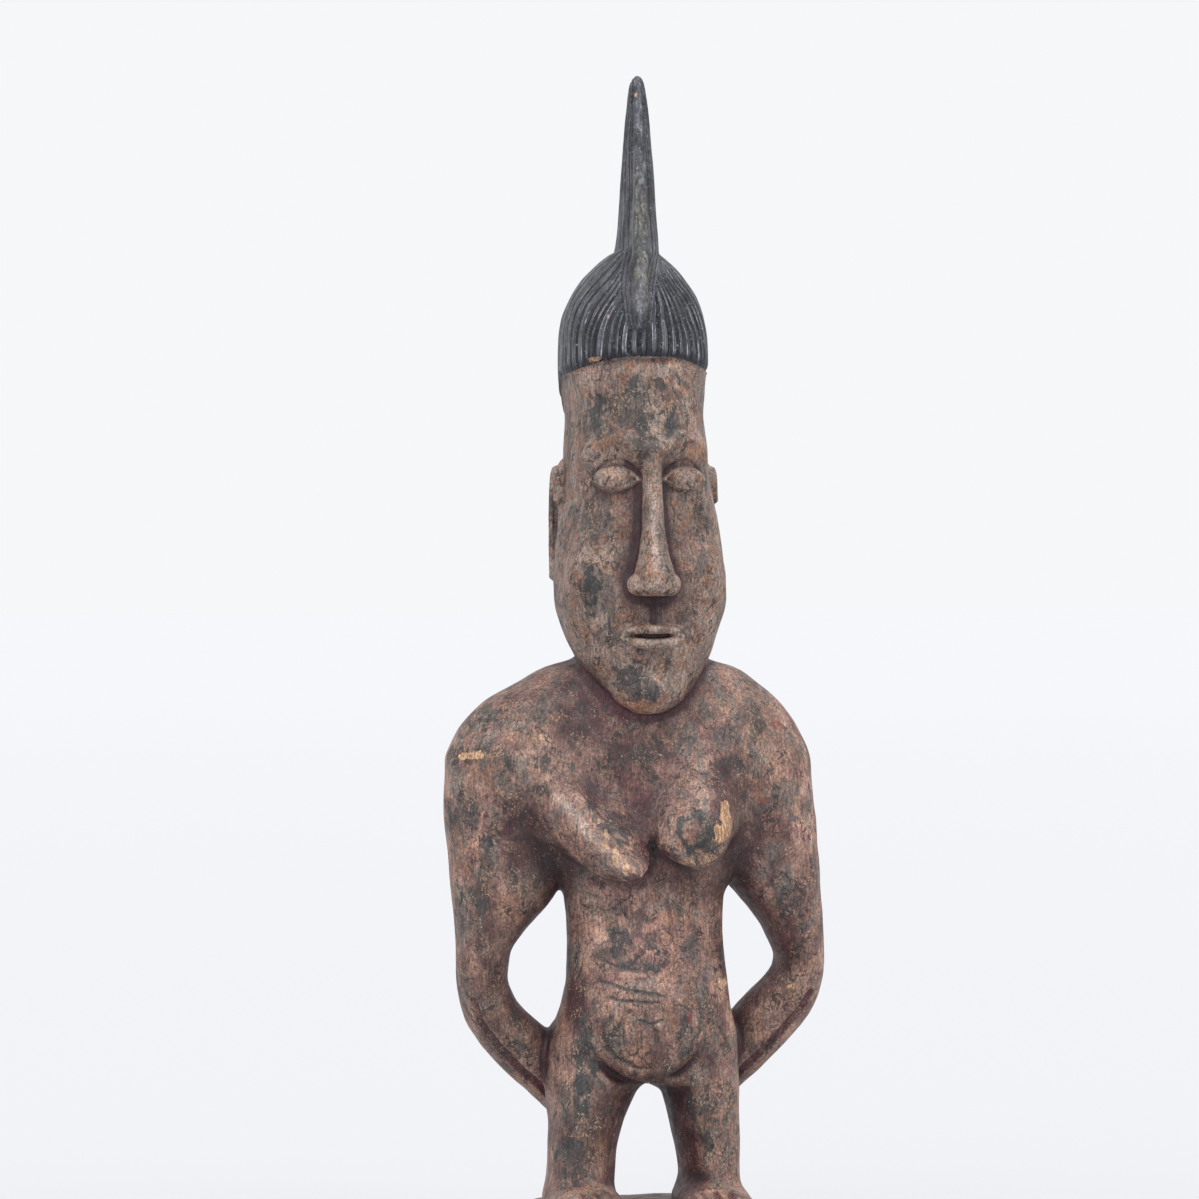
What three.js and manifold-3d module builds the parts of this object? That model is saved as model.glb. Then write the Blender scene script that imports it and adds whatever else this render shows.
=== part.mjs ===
// An ibeji figure: a standing woman with a tall crest of hair, carved with her low base from
// one block of wood. She faces -Y, her right side is -X, +Z is up and the origin is the centre
// of the flat underside. Lengths are millimetres.
import * as THREE from "three";
import { ParametricGeometry } from "three/addons/geometries/ParametricGeometry.js";
import { mergeVertices } from "three/addons/utils/BufferGeometryUtils.js";
import Module from "manifold-3d";

const wasm = await Module();
wasm.setup();

// Driving dimensions
const FIGURE_HEIGHT = 282; // from the top of the base to the tip of the crest
const BASE_THICKNESS = 18;
const BASE_RIM_SIDE = 3.5; // how far the base reaches past the feet
const BASE_RIM_FRONT = 2.4;
const BASE_RIM_BACK = 11;
const BASE_TOP_ROUND = 2; // rounding of the upper edge
const BASE_FOOT_BEVEL = 1; // bevel of the lower edge
const BASE_SQUARENESS = 4; // of its outline: 2 is an ellipse
const BASE_FACETS = 40;
const FOOT_SINK = 0.6; // how far the feet run into the base they are carved with
const TOE_GROOVE_WIDTH = 1.2;
const TOE_GROOVE_DEPTH = 1.2;
const FOREARM_GROOVE_WIDTH = 2.4; // the long groove beside the lower edge of each forearm
const FOREARM_GROOVE_DEPTH = 1;
const HAIR_FLUTES = 18;
const TOES = 5;

// Facets round each form and along it. A rounded form has as many round it as is given alone.
const FACETS = {
  torso: [30, 17],
  head: [26, 16],
  crest: [18, 13],
  leg: [16, 7],
  foot: [16, 5],
  arm: [12, 18],
  nose: [12, 9],
  breast: 12,
  crease: 8,
  hairBands: 10,
  buttock: 14,
  apron: 18,
  navel: 8,
  eye: 12,
  nostril: 8,
  lip: 12,
  ear: 12,
  earHollow: 10,
};

// The carving is written in thousandths of the figure's height, measured from the base's top.
const u = FIGURE_HEIGHT / 1000;

// Sections of the body. Each row: height, left, right, front, back, squareness of the section
// (2 is an ellipse). Left is -X and front is -Y.
const TORSO = [
  [109, -82, 84, -32, 60, 2.4],
  [118, -84, 87, -42, 65, 2.4],
  [130, -85, 88, -50, 67, 2.4],
  [151, -80, 86, -57, 61, 2.4],
  [178, -71, 79, -59, 49, 2.3],
  [205, -67, 76, -54, 40, 2.3],
  [245, -66, 73, -47, 37, 2.3],
  [272, -68, 74, -48, 42, 2.3],
  [290, -80, 84, -51, 47, 2.3],
  [312, -112, 112, -54, 53, 2.3],
  [338, -146, 138, -57, 59, 2.4],
  [365, -168, 154, -59, 64, 2.5],
  [392, -173.5, 153.5, -58, 67, 2.5],
  [418, -163, 144, -55, 69, 2.4],
  [445, -138, 127, -50, 71, 2.3],
  [463, -107, 106, -44, 72, 2.2],
  [474, -86, 91, -39, 72, 2.2],
  [486, -54, 59, -32, 72, 2.1],
  [505, -46, 46, -26, 70, 2],
  [540, -44, 42, -20, 66, 2],
];
const HEAD = [
  [436, -22, 18, -58, -26, 2],
  [446, -36, 32, -69, -6, 2.1],
  [468, -52, 48, -75, 28, 2.2],
  [504, -68, 65, -77, 52, 2.3],
  [539, -77, 75, -77, 68, 2.3],
  [574, -76, 73, -74, 79, 2.3],
  [628, -68, 65, -70, 89, 2.3],
  [648, -66, 61, -73, 92, 2.3],
  [666, -65, 59, -80, 94, 2.3],
  [695, -63, 56, -76, 97, 2.3],
  [723, -65, 58, -73, 99, 2.3],
  [748, -66, 59, -71, 99, 2.3],
  [762, -60, 53, -62, 90, 2.3],
];
const HAIR = [
  [600, -73, 69, -74, 88, 2.2],
  [628, -71, 66, -75, 94, 2.2],
  [666, -68, 62, -82, 100, 2.2],
  [695, -66, 59, -80, 104, 2.2],
  [723, -68, 60, -77, 108, 2.2],
  [748, -69, 61.5, -76, 109, 2.2],
  [766, -68.5, 61, -73, 109, 2.2],
  [784, -66, 58.5, -69, 106, 2.2],
  [801, -60, 53.5, -62, 98, 2.1],
  [819, -49, 42, -54, 87, 2],
  [829, -39.5, 33, -49, 80, 2],
  [837, -31, 23, -44, 73, 2],
  [843, -22, 14, -38, 65, 2],
  [848, -8, 2, -25, 50, 2],
];

// The crest, which starts as a broad band down the front of the dome.
const CREST = [
  [768, -18, -7, -70, 40, 2.6],
  [785, -24, -1, -71, 60, 2.8],
  [806, -25, 3, -63, 70, 2.8],
  [829, -22, 10, -52.5, 74, 2.6],
  [842, -18, 15, -45, 70, 2.5],
  [856, -16.5, 15.5, -37, 62, 2.3],
  [875, -15.5, 14.5, -31, 54, 2.2],
  [905, -14.5, 13.5, -24, 45, 2.1],
  [940, -13, 11, -16, 33, 2.1],
  [972, -10.5, 8, -8, 22, 2.1],
  [990, -8.5, 5.5, -2, 16, 2],
  [997, -6, 3.5, 1, 12, 2],
  [1000, -3, 1, 4, 9, 2],
];
const HAIRLINE = { front: 746, side: 733, back: 628 };
const HAIR_EDGE = 0.12; // the hair's lower edge is closed this share of the way inwards
const FLUTE_CUT = 0.07; // each flute cuts in by this share of the hair's half width

// Stations down each arm. Each row: outer x, outer z, inner x, inner z, middle y, half depth.
// The outer and inner points are the two edges of the arm as the figure is seen from in front.
const RIGHT_ARM = [
  [-128, 428, -96, 416, 8, 22],
  [-161, 405, -76, 372, 9, 38],
  [-174, 366, -66, 330, 9, 48],
  [-172, 325, -66, 296, 9, 50],
  [-168, 285, -78, 271, 9, 46],
  [-164.5, 245, -103, 243, 9, 41],
  [-163, 214, -116, 222, 10, 38],
  [-161, 190, -117, 203, 12, 36],
  [-155, 166, -110.5, 183, 15, 33],
  [-140, 142, -95, 166, 20, 31],
  [-118, 117, -72, 149, 26, 29],
  [-95, 98, -58, 134, 32, 27],
  [-80, 84, -50, 118, 36, 22],
];
const LEFT_ARM = [
  [114, 428, 84, 416, 8, 22],
  [145, 405, 62, 372, 9, 38],
  [157, 366, 58, 330, 9, 48],
  [161, 325, 64, 300, 9, 50],
  [164.5, 285, 84, 280, 9, 46],
  [166.5, 245, 111, 246, 9, 41],
  [167.5, 214, 124, 219, 10, 38],
  [164, 190, 123, 211, 12, 36],
  [157, 169, 113, 198, 15, 33],
  [142, 148, 100, 184, 20, 31],
  [120, 124, 80, 161, 26, 29],
  [98, 102, 62, 142, 32, 27],
  [80, 84, 50, 118, 36, 22],
];

// The forearm's groove runs between these two stations, turned this far from the outer edge on
// the right arm and on the left.
const FOREARM_GROOVE_STATIONS = [7.5, 11.4];
const FOREARM_GROOVE_TURN = [50, 60];

// Legs: height, left, right, front, back, squareness.
const RIGHT_LEG = [
  [-4, -84, -23.5, -45, 44, 2.8],
  [12, -84, -23.5, -45, 44, 2.8],
  [45, -81, -22, -46, 46, 2.7],
  [71, -80, -16, -47, 50, 2.6],
  [90, -82, -8, -47, 54, 2.5],
  [101, -84, -2, -46, 57, 2.4],
  [111, -84, 6, -46, 58, 2.4],
  [140, -76, 6, -40, 58, 2.4],
];
const LEFT_LEG = [
  [-4, 38, 88, -45, 44, 2.8],
  [12, 38, 88, -45, 44, 2.8],
  [45, 35, 87, -46, 46, 2.7],
  [71, 29, 87, -47, 50, 2.6],
  [90, 24, 87, -47, 54, 2.5],
  [101, 20, 88, -46, 57, 2.4],
  [111, 5, 88, -46, 58, 2.4],
  [140, 0, 80, -40, 58, 2.4],
];
const LEG_CORNER = 1.7; // squareness of each leg's inner front corner, which is cut away

// The creases between the belly and the thighs, from the arch of the legs upwards. Each row:
// x, y, z, radius.
const CREASES = [
  [
    [-4, -34, 106, 7],
    [-17, -42, 113, 8],
    [-33, -46, 121, 6.5],
    [-47, -49, 135, 5],
    [-57, -51, 150, 3],
  ],
  [
    [6, -34, 106, 7],
    [19, -43, 113, 8],
    [32, -47, 122, 6.5],
    [42, -50, 135, 5],
    [50, -52, 150, 3],
  ],
];
const FOOT = { halfWidth: 32, toe: -94, heel: 47, toeHeight: 11, toeLength: 29 };
const FOOT_CENTRES = [-54, 61];

// How a foot narrows above its sole: height, inset of each side, inset of the toes, squareness.
const FOOT_TAPER = [
  [0, 0, 0, 2.8],
  [7, 0, 0, 2.8],
  [11, 2, 8, 2.8],
  [18, 7, 34, 2.7],
  [24, 12, 50, 2.6],
];

// Breasts, the right one first: from the chest to the tip, each row x, y, z, radius. Towards the
// middle of the chest each is wider by its own share and falls away from its crest by its own
// power: 1 is a straight slope and less than that is fuller.
const BREASTS = [
  [
    [-80, -4, 398, 24],
    [-80, -24, 374, 32],
    [-67, -49, 347, 33],
    [-49, -71, 320, 27],
    [-36, -85, 303, 18],
    [-25, -93, 294, 7],
  ],
  [
    [38, -10, 402, 26],
    [39, -32, 376, 36],
    [39, -54, 346, 37],
    [38, -71, 327, 31],
    [37, -83, 316, 22],
    [37, -89, 312, 11],
  ],
];
const BREAST_INNER = [
  { wider: 1.6, power: 0.8 },
  { wider: 1.25, power: 0.55 },
];
const APRON = { x: -2, y: -42, z: 161, halfWidth: 48, halfDepth: 18, halfHeight: 49 };
const NAVEL = { x: 5, y: -59, z: 163, halfWidth: 5.5, halfDepth: 5.5, halfHeight: 5.5 };
const BUTTOCK = { x: 40, y: 37, z: 134, halfWidth: 41, halfDepth: 41, halfHeight: 38 };

// The face: a calm one in the manner of the style, set out by the rules of proportion. The eyes
// are halfway down the head, the nose ends halfway from the eyes to the chin and the mouth is a
// third of the way from there to the chin.
const CHIN = 436;
const CROWN = 845;
const EYE_LEVEL = (CHIN + CROWN) / 2;
const NOSE_BASE = (EYE_LEVEL + CHIN) / 2;
const MOUTH = NOSE_BASE - (NOSE_BASE - CHIN) / 3;
const BROW_RISE = 28;
const BROW = EYE_LEVEL + BROW_RISE;
const FACE_X = -2;
const EYE = { x: 30, y: -57, z: EYE_LEVEL, halfWidth: 19, halfDepth: 17, halfHeight: 12 };
const NOSTRIL = { x: 15, y: -84, z: NOSE_BASE + 10, halfWidth: 9, halfDepth: 13, halfHeight: 10 };
const UPPER_LIP = { x: 0, y: -71, z: MOUTH + 5, halfWidth: 28, halfDepth: 16, halfHeight: 6 };
const LOWER_LIP = { x: 0, y: -70, z: MOUTH - 6.5, halfWidth: 24, halfDepth: 16, halfHeight: 7 };
const CHIN_POINT = { x: 0, y: -60, z: CHIN + 22, halfWidth: 26, halfDepth: 18, halfHeight: 18 };

// The nose, from its base up to the brow: share of its length, left, right, front, back,
// squareness.
const NOSE = [
  [0, -12, 12, -94, -60, 2.6],
  [0.04, -19, 19, -103, -60, 2.4],
  [0.14, -18, 18, -107, -60, 2.1],
  [0.3, -13, 13, -102, -60, 2],
  [0.6, -9, 9, -91, -60, 2],
  [1, -7, 7, -80, -60, 2],
];
const EAR = { x: 63, y: 20, halfWidth: 12, halfDepth: 18, top: EYE_LEVEL + 20, bottom: NOSE_BASE + 8 };
const EAR_RIM = 6;
const EAR_HOLLOW_FORWARD = 4;

// A smooth curve through rows whose first number runs upwards, with no overshoot between them.
function throughRows(rows) {
  const last = rows.length - 1;
  const step = (i, k) => (rows[i + 1][k] - rows[i][k]) / (rows[i + 1][0] - rows[i][0]);
  const slope = (i, k) => {
    if (i === 0) return step(0, k);
    if (i === last) return step(last - 1, k);
    const before = step(i - 1, k);
    const after = step(i, k);
    return before * after <= 0 ? 0 : (2 * before * after) / (before + after);
  };
  return (at) => {
    const t = THREE.MathUtils.clamp(at, rows[0][0], rows[last][0]);
    let i = 0;
    while (i < last - 1 && t > rows[i + 1][0]) i += 1;
    const width = rows[i + 1][0] - rows[i][0];
    const s = (t - rows[i][0]) / width;
    return rows[i].map((value, k) => {
      const rise = rows[i + 1][k] - value;
      const a = k ? slope(i, k) * width - rise : 0;
      const b = k ? rise - slope(i + 1, k) * width : 0;
      return value + rise * s + s * (1 - s) * (a * (1 - s) + b * s);
    });
  };
}

// A smooth curve through stations, by their number in the list.
function throughStations(stations) {
  return throughRows(stations.map((station, i) => [i, ...station]));
}

// The two coordinates of a rounded section at an angle: angle 0 is right, a quarter turn is back.
function onSection([, left, right, front, back, square], angle) {
  const c = Math.cos(angle);
  const s = Math.sin(angle);
  const across = Math.sign(c) * Math.abs(c) ** (2 / square);
  const deep = Math.sign(s) * Math.abs(s) ** (2 / square);
  return [
    (left + right) / 2 + (across * (right - left)) / 2,
    (front + back) / 2 + (deep * (back - front)) / 2,
  ];
}

// A solid from a three.js geometry that closes on itself.
function solid(geometry) {
  const bare = geometry.clone();
  bare.deleteAttribute("normal");
  bare.deleteAttribute("uv");
  const merged = mergeVertices(bare, 1e-4);
  const corners = merged.index.array;
  const kept = [];
  for (let i = 0; i < corners.length; i += 3) {
    const [a, b, c] = corners.subarray(i, i + 3);
    if (a !== b && b !== c && c !== a) kept.push(a, b, c);
  }
  const mesh = { numProp: 3, vertProperties: merged.attributes.position.array };
  return new wasm.Manifold(new wasm.Mesh({ ...mesh, triVerts: new Uint32Array(kept) }));
}

// A closed solid through rings. ring(v, angle) gives [x, y, z] in thousandths, with v from 0 to 1.
function loft(ring, around, along) {
  const middle = (v) => {
    const [ax, ay, az] = ring(v, 0);
    const [bx, by, bz] = ring(v, Math.PI);
    return [(ax + bx) / 2, (ay + by) / 2, (az + bz) / 2];
  };
  const surface = (s, t, out) => {
    const band = t * (along + 2) - 1;
    const v = THREE.MathUtils.clamp(band / along, 0, 1);
    const closed = band < -0.5 || band > along + 0.5;
    const point = closed ? middle(v) : ring(v, s * 2 * Math.PI);
    out.set(...point).multiplyScalar(u);
  };
  return solid(new ParametricGeometry(surface, around, along + 2));
}

// A solid through horizontal sections. A leg has the side that its inner front corner is on,
// 1 for right and -1 for left.
function column(rows, around, along, inner = 0) {
  const section = throughRows(rows);
  const low = rows[0][0];
  const high = rows[rows.length - 1][0];
  const ring = (v, angle) => {
    const z = low + (high - low) * v;
    const row = section(z);
    const corner = Math.cos(angle) * inner > 0 && Math.sin(angle) < 0;
    if (corner) row[5] = LEG_CORNER;
    return [...onSection(row, angle), z];
  };
  return loft(ring, around, along);
}

function ellipsoid({ x, y, z, halfWidth, halfDepth, halfHeight }, around) {
  const geometry = new THREE.SphereGeometry(1, around, around / 2);
  geometry.rotateX(Math.PI / 2);
  geometry.scale(halfWidth * u, halfDepth * u, halfHeight * u);
  geometry.translate(x * u, y * u, z * u);
  return solid(geometry);
}

// The same ellipsoid on the right and on the left of a middle line.
function pairOf(shape, middleX, around) {
  return [-1, 1].map((side) => ellipsoid({ ...shape, x: middleX + side * shape.x }, around));
}

// The height of the hairline at an angle round the head.
function hairlineAt(angle) {
  const frontness = -Math.sin(angle);
  const end = frontness > 0 ? HAIRLINE.front : HAIRLINE.back;
  return HAIRLINE.side + (end - HAIRLINE.side) * Math.abs(frontness) ** 1.5;
}

// The dome of hair, with strands from the hairline up to the crest. The first band closes the
// lower edge, which stands a little proud of the head.
function hairSolid() {
  const section = throughRows(HAIR);
  const top = HAIR[HAIR.length - 1][0];
  const bands = FACETS.hairBands;
  const ring = (v, angle) => {
    const rise = Math.max(0, (v * bands - 1) / (bands - 1));
    const line = hairlineAt(angle);
    const z = line + (top - line) * rise;
    const row = section(z);
    const [x, y] = onSection(row, angle);
    const [, left, right, front, back] = row;
    const flute = 0.5 - 0.5 * Math.cos(HAIR_FLUTES * (angle + Math.PI / 2));
    const inwards = v === 0 ? HAIR_EDGE : FLUTE_CUT * flute;
    const middleX = (left + right) / 2;
    const middleY = (front + back) / 2;
    return [x + (middleX - x) * inwards, y + (middleY - y) * inwards, z];
  };
  return loft(ring, HAIR_FLUTES * 4, bands);
}

// One arm, from the hand up to the shoulder. Its rings turn the other way on the right side.
function armSolid(stations, side) {
  const path = throughStations(stations);
  const ring = (v, angle) => {
    const at = (1 - v) * (stations.length - 1);
    const [, outerX, outerZ, innerX, innerZ, y, depth] = path(at);
    const across = Math.cos(angle) / 2;
    return [
      (outerX + innerX) / 2 + across * (outerX - innerX),
      y + side * Math.sin(angle) * depth,
      (outerZ + innerZ) / 2 + across * (outerZ - innerZ),
    ];
  };
  return loft(ring, ...FACETS.arm).subtract(forearmGroove(path, side));
}

// The point on the arm's skin where its groove runs, and the way out of the arm there.
function grooveSpot(path, at, side) {
  const [, outerX, outerZ, innerX, innerZ, y, depth] = path(at);
  const turn = THREE.MathUtils.degToRad(FOREARM_GROOVE_TURN[side < 0 ? 0 : 1]);
  const half = new THREE.Vector3(outerX - innerX, 0, outerZ - innerZ).divideScalar(2);
  const middle = new THREE.Vector3(innerX, y, innerZ).add(half);
  const out = half.multiplyScalar(Math.cos(turn)).setY(-Math.sin(turn) * depth);
  return { point: middle.add(out).multiplyScalar(u), out: out.clone().normalize() };
}

function forearmGroove(path, side) {
  const [start, end] = FOREARM_GROOVE_STATIONS.map((at) => grooveSpot(path, at, side));
  const along = end.point.clone().sub(start.point);
  const length = along.length();
  along.normalize();
  const out = start.out.add(end.out);
  const across = new THREE.Vector3().crossVectors(out, along).normalize();
  out.crossVectors(along, across);
  const groove = new THREE.BoxGeometry(length, FOREARM_GROOVE_WIDTH, FOREARM_GROOVE_DEPTH * 2);
  groove.applyMatrix4(new THREE.Matrix4().makeBasis(along, across, out));
  const middle = start.point.add(end.point).divideScalar(2);
  groove.translate(middle.x, middle.y, middle.z);
  return solid(groove);
}

// One breast, from its tip back to the chest, with rings square to the way it hangs.
function breastSolid(stations, i) {
  const path = throughStations(stations);
  const last = stations.length - 1;
  const ring = (v, angle) => {
    const at = (1 - v) * last;
    const [, x, y, z, radius] = path(at);
    const ahead = path(Math.min(at + 0.5, last));
    const behind = path(Math.max(at - 0.5, 0));
    const run = new THREE.Vector2(ahead[2] - behind[2], ahead[3] - behind[3]).normalize();
    const across = Math.cos(angle);
    const inwards = i ? across < 0 : across > 0;
    const { wider, power } = BREAST_INNER[i];
    const slope = inwards ? (1 - Math.abs(across)) ** power : Math.sqrt(1 - across ** 2);
    const lift = Math.sign(Math.sin(angle)) * slope * radius;
    const reach = inwards ? radius * wider : radius;
    return [x + across * reach, y - lift * run.y, z + lift * run.x];
  };
  return loft(ring, FACETS.breast, last);
}

// One crease beside the belly, as the round-bottomed groove that is cut out.
function creaseSolid(stations) {
  const path = throughStations(stations);
  const last = stations.length - 1;
  const ring = (v, angle) => {
    const at = v * last;
    const [, x, y, z, radius] = path(at);
    const ahead = path(Math.min(at + 0.5, last));
    const behind = path(Math.max(at - 0.5, 0));
    const run = new THREE.Vector2(ahead[1] - behind[1], ahead[3] - behind[3]).normalize();
    const across = Math.cos(angle) * radius;
    return [x + across * run.y, y + Math.sin(angle) * radius, z - across * run.x];
  };
  return loft(ring, FACETS.crease, last);
}

function noseSolid() {
  const section = throughRows(NOSE);
  const ring = (v, angle) => {
    const [x, y] = onSection(section(v), angle);
    return [FACE_X + x, y, NOSE_BASE + v * (BROW - NOSE_BASE)];
  };
  return loft(ring, ...FACETS.nose);
}

function faceSolids() {
  const middle = [UPPER_LIP, LOWER_LIP, CHIN_POINT];
  return [
    noseSolid(),
    ...pairOf(EYE, FACE_X, FACETS.eye),
    ...pairOf(NOSTRIL, FACE_X, FACETS.nostril),
    ...middle.map((shape) => ellipsoid({ ...shape, x: FACE_X }, FACETS.lip)),
  ];
}

// One ear: a shell with a hollow in its outer side.
function earSolid(side) {
  const { x, y, halfWidth, halfDepth, top, bottom } = EAR;
  const z = (top + bottom) / 2;
  const halfHeight = (top - bottom) / 2;
  const middleX = FACE_X + side * x;
  const size = { halfWidth, halfDepth, halfHeight };
  const shell = ellipsoid({ x: middleX, y, z, ...size }, FACETS.ear);
  const hollow = {
    x: middleX + side * halfWidth,
    y: y - EAR_HOLLOW_FORWARD,
    z,
    halfWidth: EAR_RIM,
    halfDepth: halfDepth - EAR_RIM,
    halfHeight: halfHeight - EAR_RIM,
  };
  return shell.subtract(ellipsoid(hollow, FACETS.earHollow));
}

function toeGroove(x) {
  const { toe, toeHeight, toeLength } = FOOT;
  const groove = new THREE.BoxGeometry(TOE_GROOVE_WIDTH, toeLength * u, TOE_GROOVE_DEPTH * 2);
  groove.translate(x * u, (toe + toeLength / 3) * u, toeHeight * u);
  return solid(groove);
}

function footSolid(centre) {
  const { halfWidth, toe, heel } = FOOT;
  const left = centre - halfWidth;
  const right = centre + halfWidth;
  const rows = FOOT_TAPER.map(([z, side, front, square], i) => [
    i ? z : -FOOT_SINK / u,
    left + side,
    right - side,
    toe + front,
    heel,
    square,
  ]);
  const between = Array.from({ length: TOES - 1 }, (_, i) => (i + 1) / TOES);
  const grooves = between.map((share) => toeGroove(left + (right - left) * share));
  return grooves.reduce((foot, groove) => foot.subtract(groove), column(rows, ...FACETS.foot));
}

// The edges of the base, which reaches past the feet by its rim on each side.
function baseEdges() {
  const [rightFoot, leftFoot] = FOOT_CENTRES;
  return {
    left: (rightFoot - FOOT.halfWidth) * u - BASE_RIM_SIDE,
    right: (leftFoot + FOOT.halfWidth) * u + BASE_RIM_SIDE,
    front: FOOT.toe * u - BASE_RIM_FRONT,
    back: FOOT.heel * u + BASE_RIM_BACK,
  };
}

function baseSolid() {
  const { left, right, front, back } = baseEdges();
  const square = BASE_SQUARENESS;
  const level = (z, inset) => [z, left + inset, right - inset, front + inset, back - inset, square];
  const levels = [
    level(-BASE_THICKNESS, BASE_FOOT_BEVEL),
    level(BASE_FOOT_BEVEL - BASE_THICKNESS, 0),
    level(-BASE_TOP_ROUND, 0),
    level(-BASE_TOP_ROUND * 0.3, BASE_TOP_ROUND * 0.3),
    level(0, BASE_TOP_ROUND),
  ];
  const ring = (v, angle) => {
    const row = levels[Math.round(v * (levels.length - 1))];
    const [x, y] = onSection(row, angle);
    return [x / u, y / u, row[0] / u];
  };
  return loft(ring, BASE_FACETS, levels.length - 1);
}

// The trunk down to the ankles, with the creases cut into it.
function trunkSolid() {
  const parts = [
    column(TORSO, ...FACETS.torso),
    ...pairOf(BUTTOCK, 0, FACETS.buttock),
    column(RIGHT_LEG, ...FACETS.leg, 1),
    column(LEFT_LEG, ...FACETS.leg, -1),
  ];
  const whole = parts.reduce((made, part) => made.add(part));
  return CREASES.map(creaseSolid).reduce((made, crease) => made.subtract(crease), whole);
}

function figureSolid() {
  const parts = [
    trunkSolid(),
    column(HEAD, ...FACETS.head),
    hairSolid(),
    column(CREST, ...FACETS.crest),
    ...faceSolids(),
    earSolid(-1),
    earSolid(1),
    armSolid(RIGHT_ARM, -1),
    armSolid(LEFT_ARM, 1),
    ...BREASTS.map(breastSolid),
    ellipsoid(APRON, FACETS.apron),
    ellipsoid(NAVEL, FACETS.navel),
    ...FOOT_CENTRES.map(footSolid),
    baseSolid(),
  ];
  return parts.reduce((whole, part) => whole.add(part));
}

function toGeometry(made) {
  const { vertProperties, triVerts } = made.getMesh();
  const geometry = new THREE.BufferGeometry();
  geometry.setAttribute("position", new THREE.BufferAttribute(vertProperties, 3));
  geometry.setIndex(new THREE.BufferAttribute(triVerts, 1));
  geometry.computeVertexNormals();
  return geometry;
}

const wood = new THREE.MeshStandardMaterial({ color: 0x6e5248, roughness: 0.55, metalness: 0 });
const figure = new THREE.Mesh(toGeometry(figureSolid()), wood);
const edges = baseEdges();
figure.name = "figure";
figure.position.x = -(edges.left + edges.right) / 2;
figure.position.y = -(edges.front + edges.back) / 2;
figure.position.z = BASE_THICKNESS;

const group = new THREE.Group();
group.add(figure);

export default group;
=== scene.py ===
import math

import bpy
import numpy as np
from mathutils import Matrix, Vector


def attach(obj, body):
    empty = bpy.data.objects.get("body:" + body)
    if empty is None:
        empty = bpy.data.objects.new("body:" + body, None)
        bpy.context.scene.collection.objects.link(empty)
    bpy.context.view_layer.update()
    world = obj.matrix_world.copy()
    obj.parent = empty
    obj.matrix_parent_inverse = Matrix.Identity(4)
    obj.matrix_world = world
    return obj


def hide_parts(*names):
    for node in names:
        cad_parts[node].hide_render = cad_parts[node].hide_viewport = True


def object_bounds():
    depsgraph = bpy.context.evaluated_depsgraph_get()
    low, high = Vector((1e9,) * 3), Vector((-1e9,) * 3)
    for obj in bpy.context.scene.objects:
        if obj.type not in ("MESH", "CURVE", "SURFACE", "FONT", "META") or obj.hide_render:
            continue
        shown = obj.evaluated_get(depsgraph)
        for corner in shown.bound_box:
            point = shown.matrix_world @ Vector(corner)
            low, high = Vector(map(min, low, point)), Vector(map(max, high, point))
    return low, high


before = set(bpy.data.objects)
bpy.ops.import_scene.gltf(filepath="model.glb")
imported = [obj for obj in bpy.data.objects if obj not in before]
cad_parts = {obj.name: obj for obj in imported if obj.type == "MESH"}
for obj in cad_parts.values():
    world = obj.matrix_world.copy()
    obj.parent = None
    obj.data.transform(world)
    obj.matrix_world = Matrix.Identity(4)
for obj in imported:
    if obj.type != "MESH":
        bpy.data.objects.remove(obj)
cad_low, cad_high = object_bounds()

import openvdb as vdb
from mathutils import Vector

# Driving sizes in millimetres
MM = 0.001
BASE_THICKNESS = 18
FIGURE_HEIGHT = cad_high.z / MM - BASE_THICKNESS  # from the top of the base to the crest's tip
BASE_RIM_SIDE = 3.5
BASE_RIM_FRONT = 2.4
BASE_RIM_BACK = 11
BASE_TOP_ROUND = 2
BASE_EDGE_MIDDLE = 0.3  # how far the rounding's middle is from top and side, as a share of it
BASE_FOOT_BEVEL = 1
BASE_SQUARENESS = 4
FOOT_SINK = 0.6
TOE_GROOVE_RADIUS = 0.8
FOREARM_GROOVE_WIDTH = 2.4

# The carving is written in thousandths of the figure's height, measured from the base's top.
U = FIGURE_HEIGHT / 1000

# Fineness of the mesh
VOXEL = 0.4
BAND_VOXELS = 12
MOST_TRIANGLES = 190000

# How many points each form has around it, and how many steps along it
BODY_AROUND = 160
BASE_AROUND = 240
HAIR_AROUND, HAIR_STEPS = 240, 120
RIDGE_AROUND, RIDGE_STEPS = 48, 120
ARM_AROUND, ARM_STEPS = 96, 120
BREAST_AROUND, BREAST_STEPS = 64, 60
CREASE_AROUND, CREASE_STEPS = 40, 60
NOSE_AROUND, NOSE_STEPS = 48, 60
GROOVE_POINTS = 16  # along the groove of a forearm
LINE_POINTS = 24  # along a curve on the surface

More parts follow.
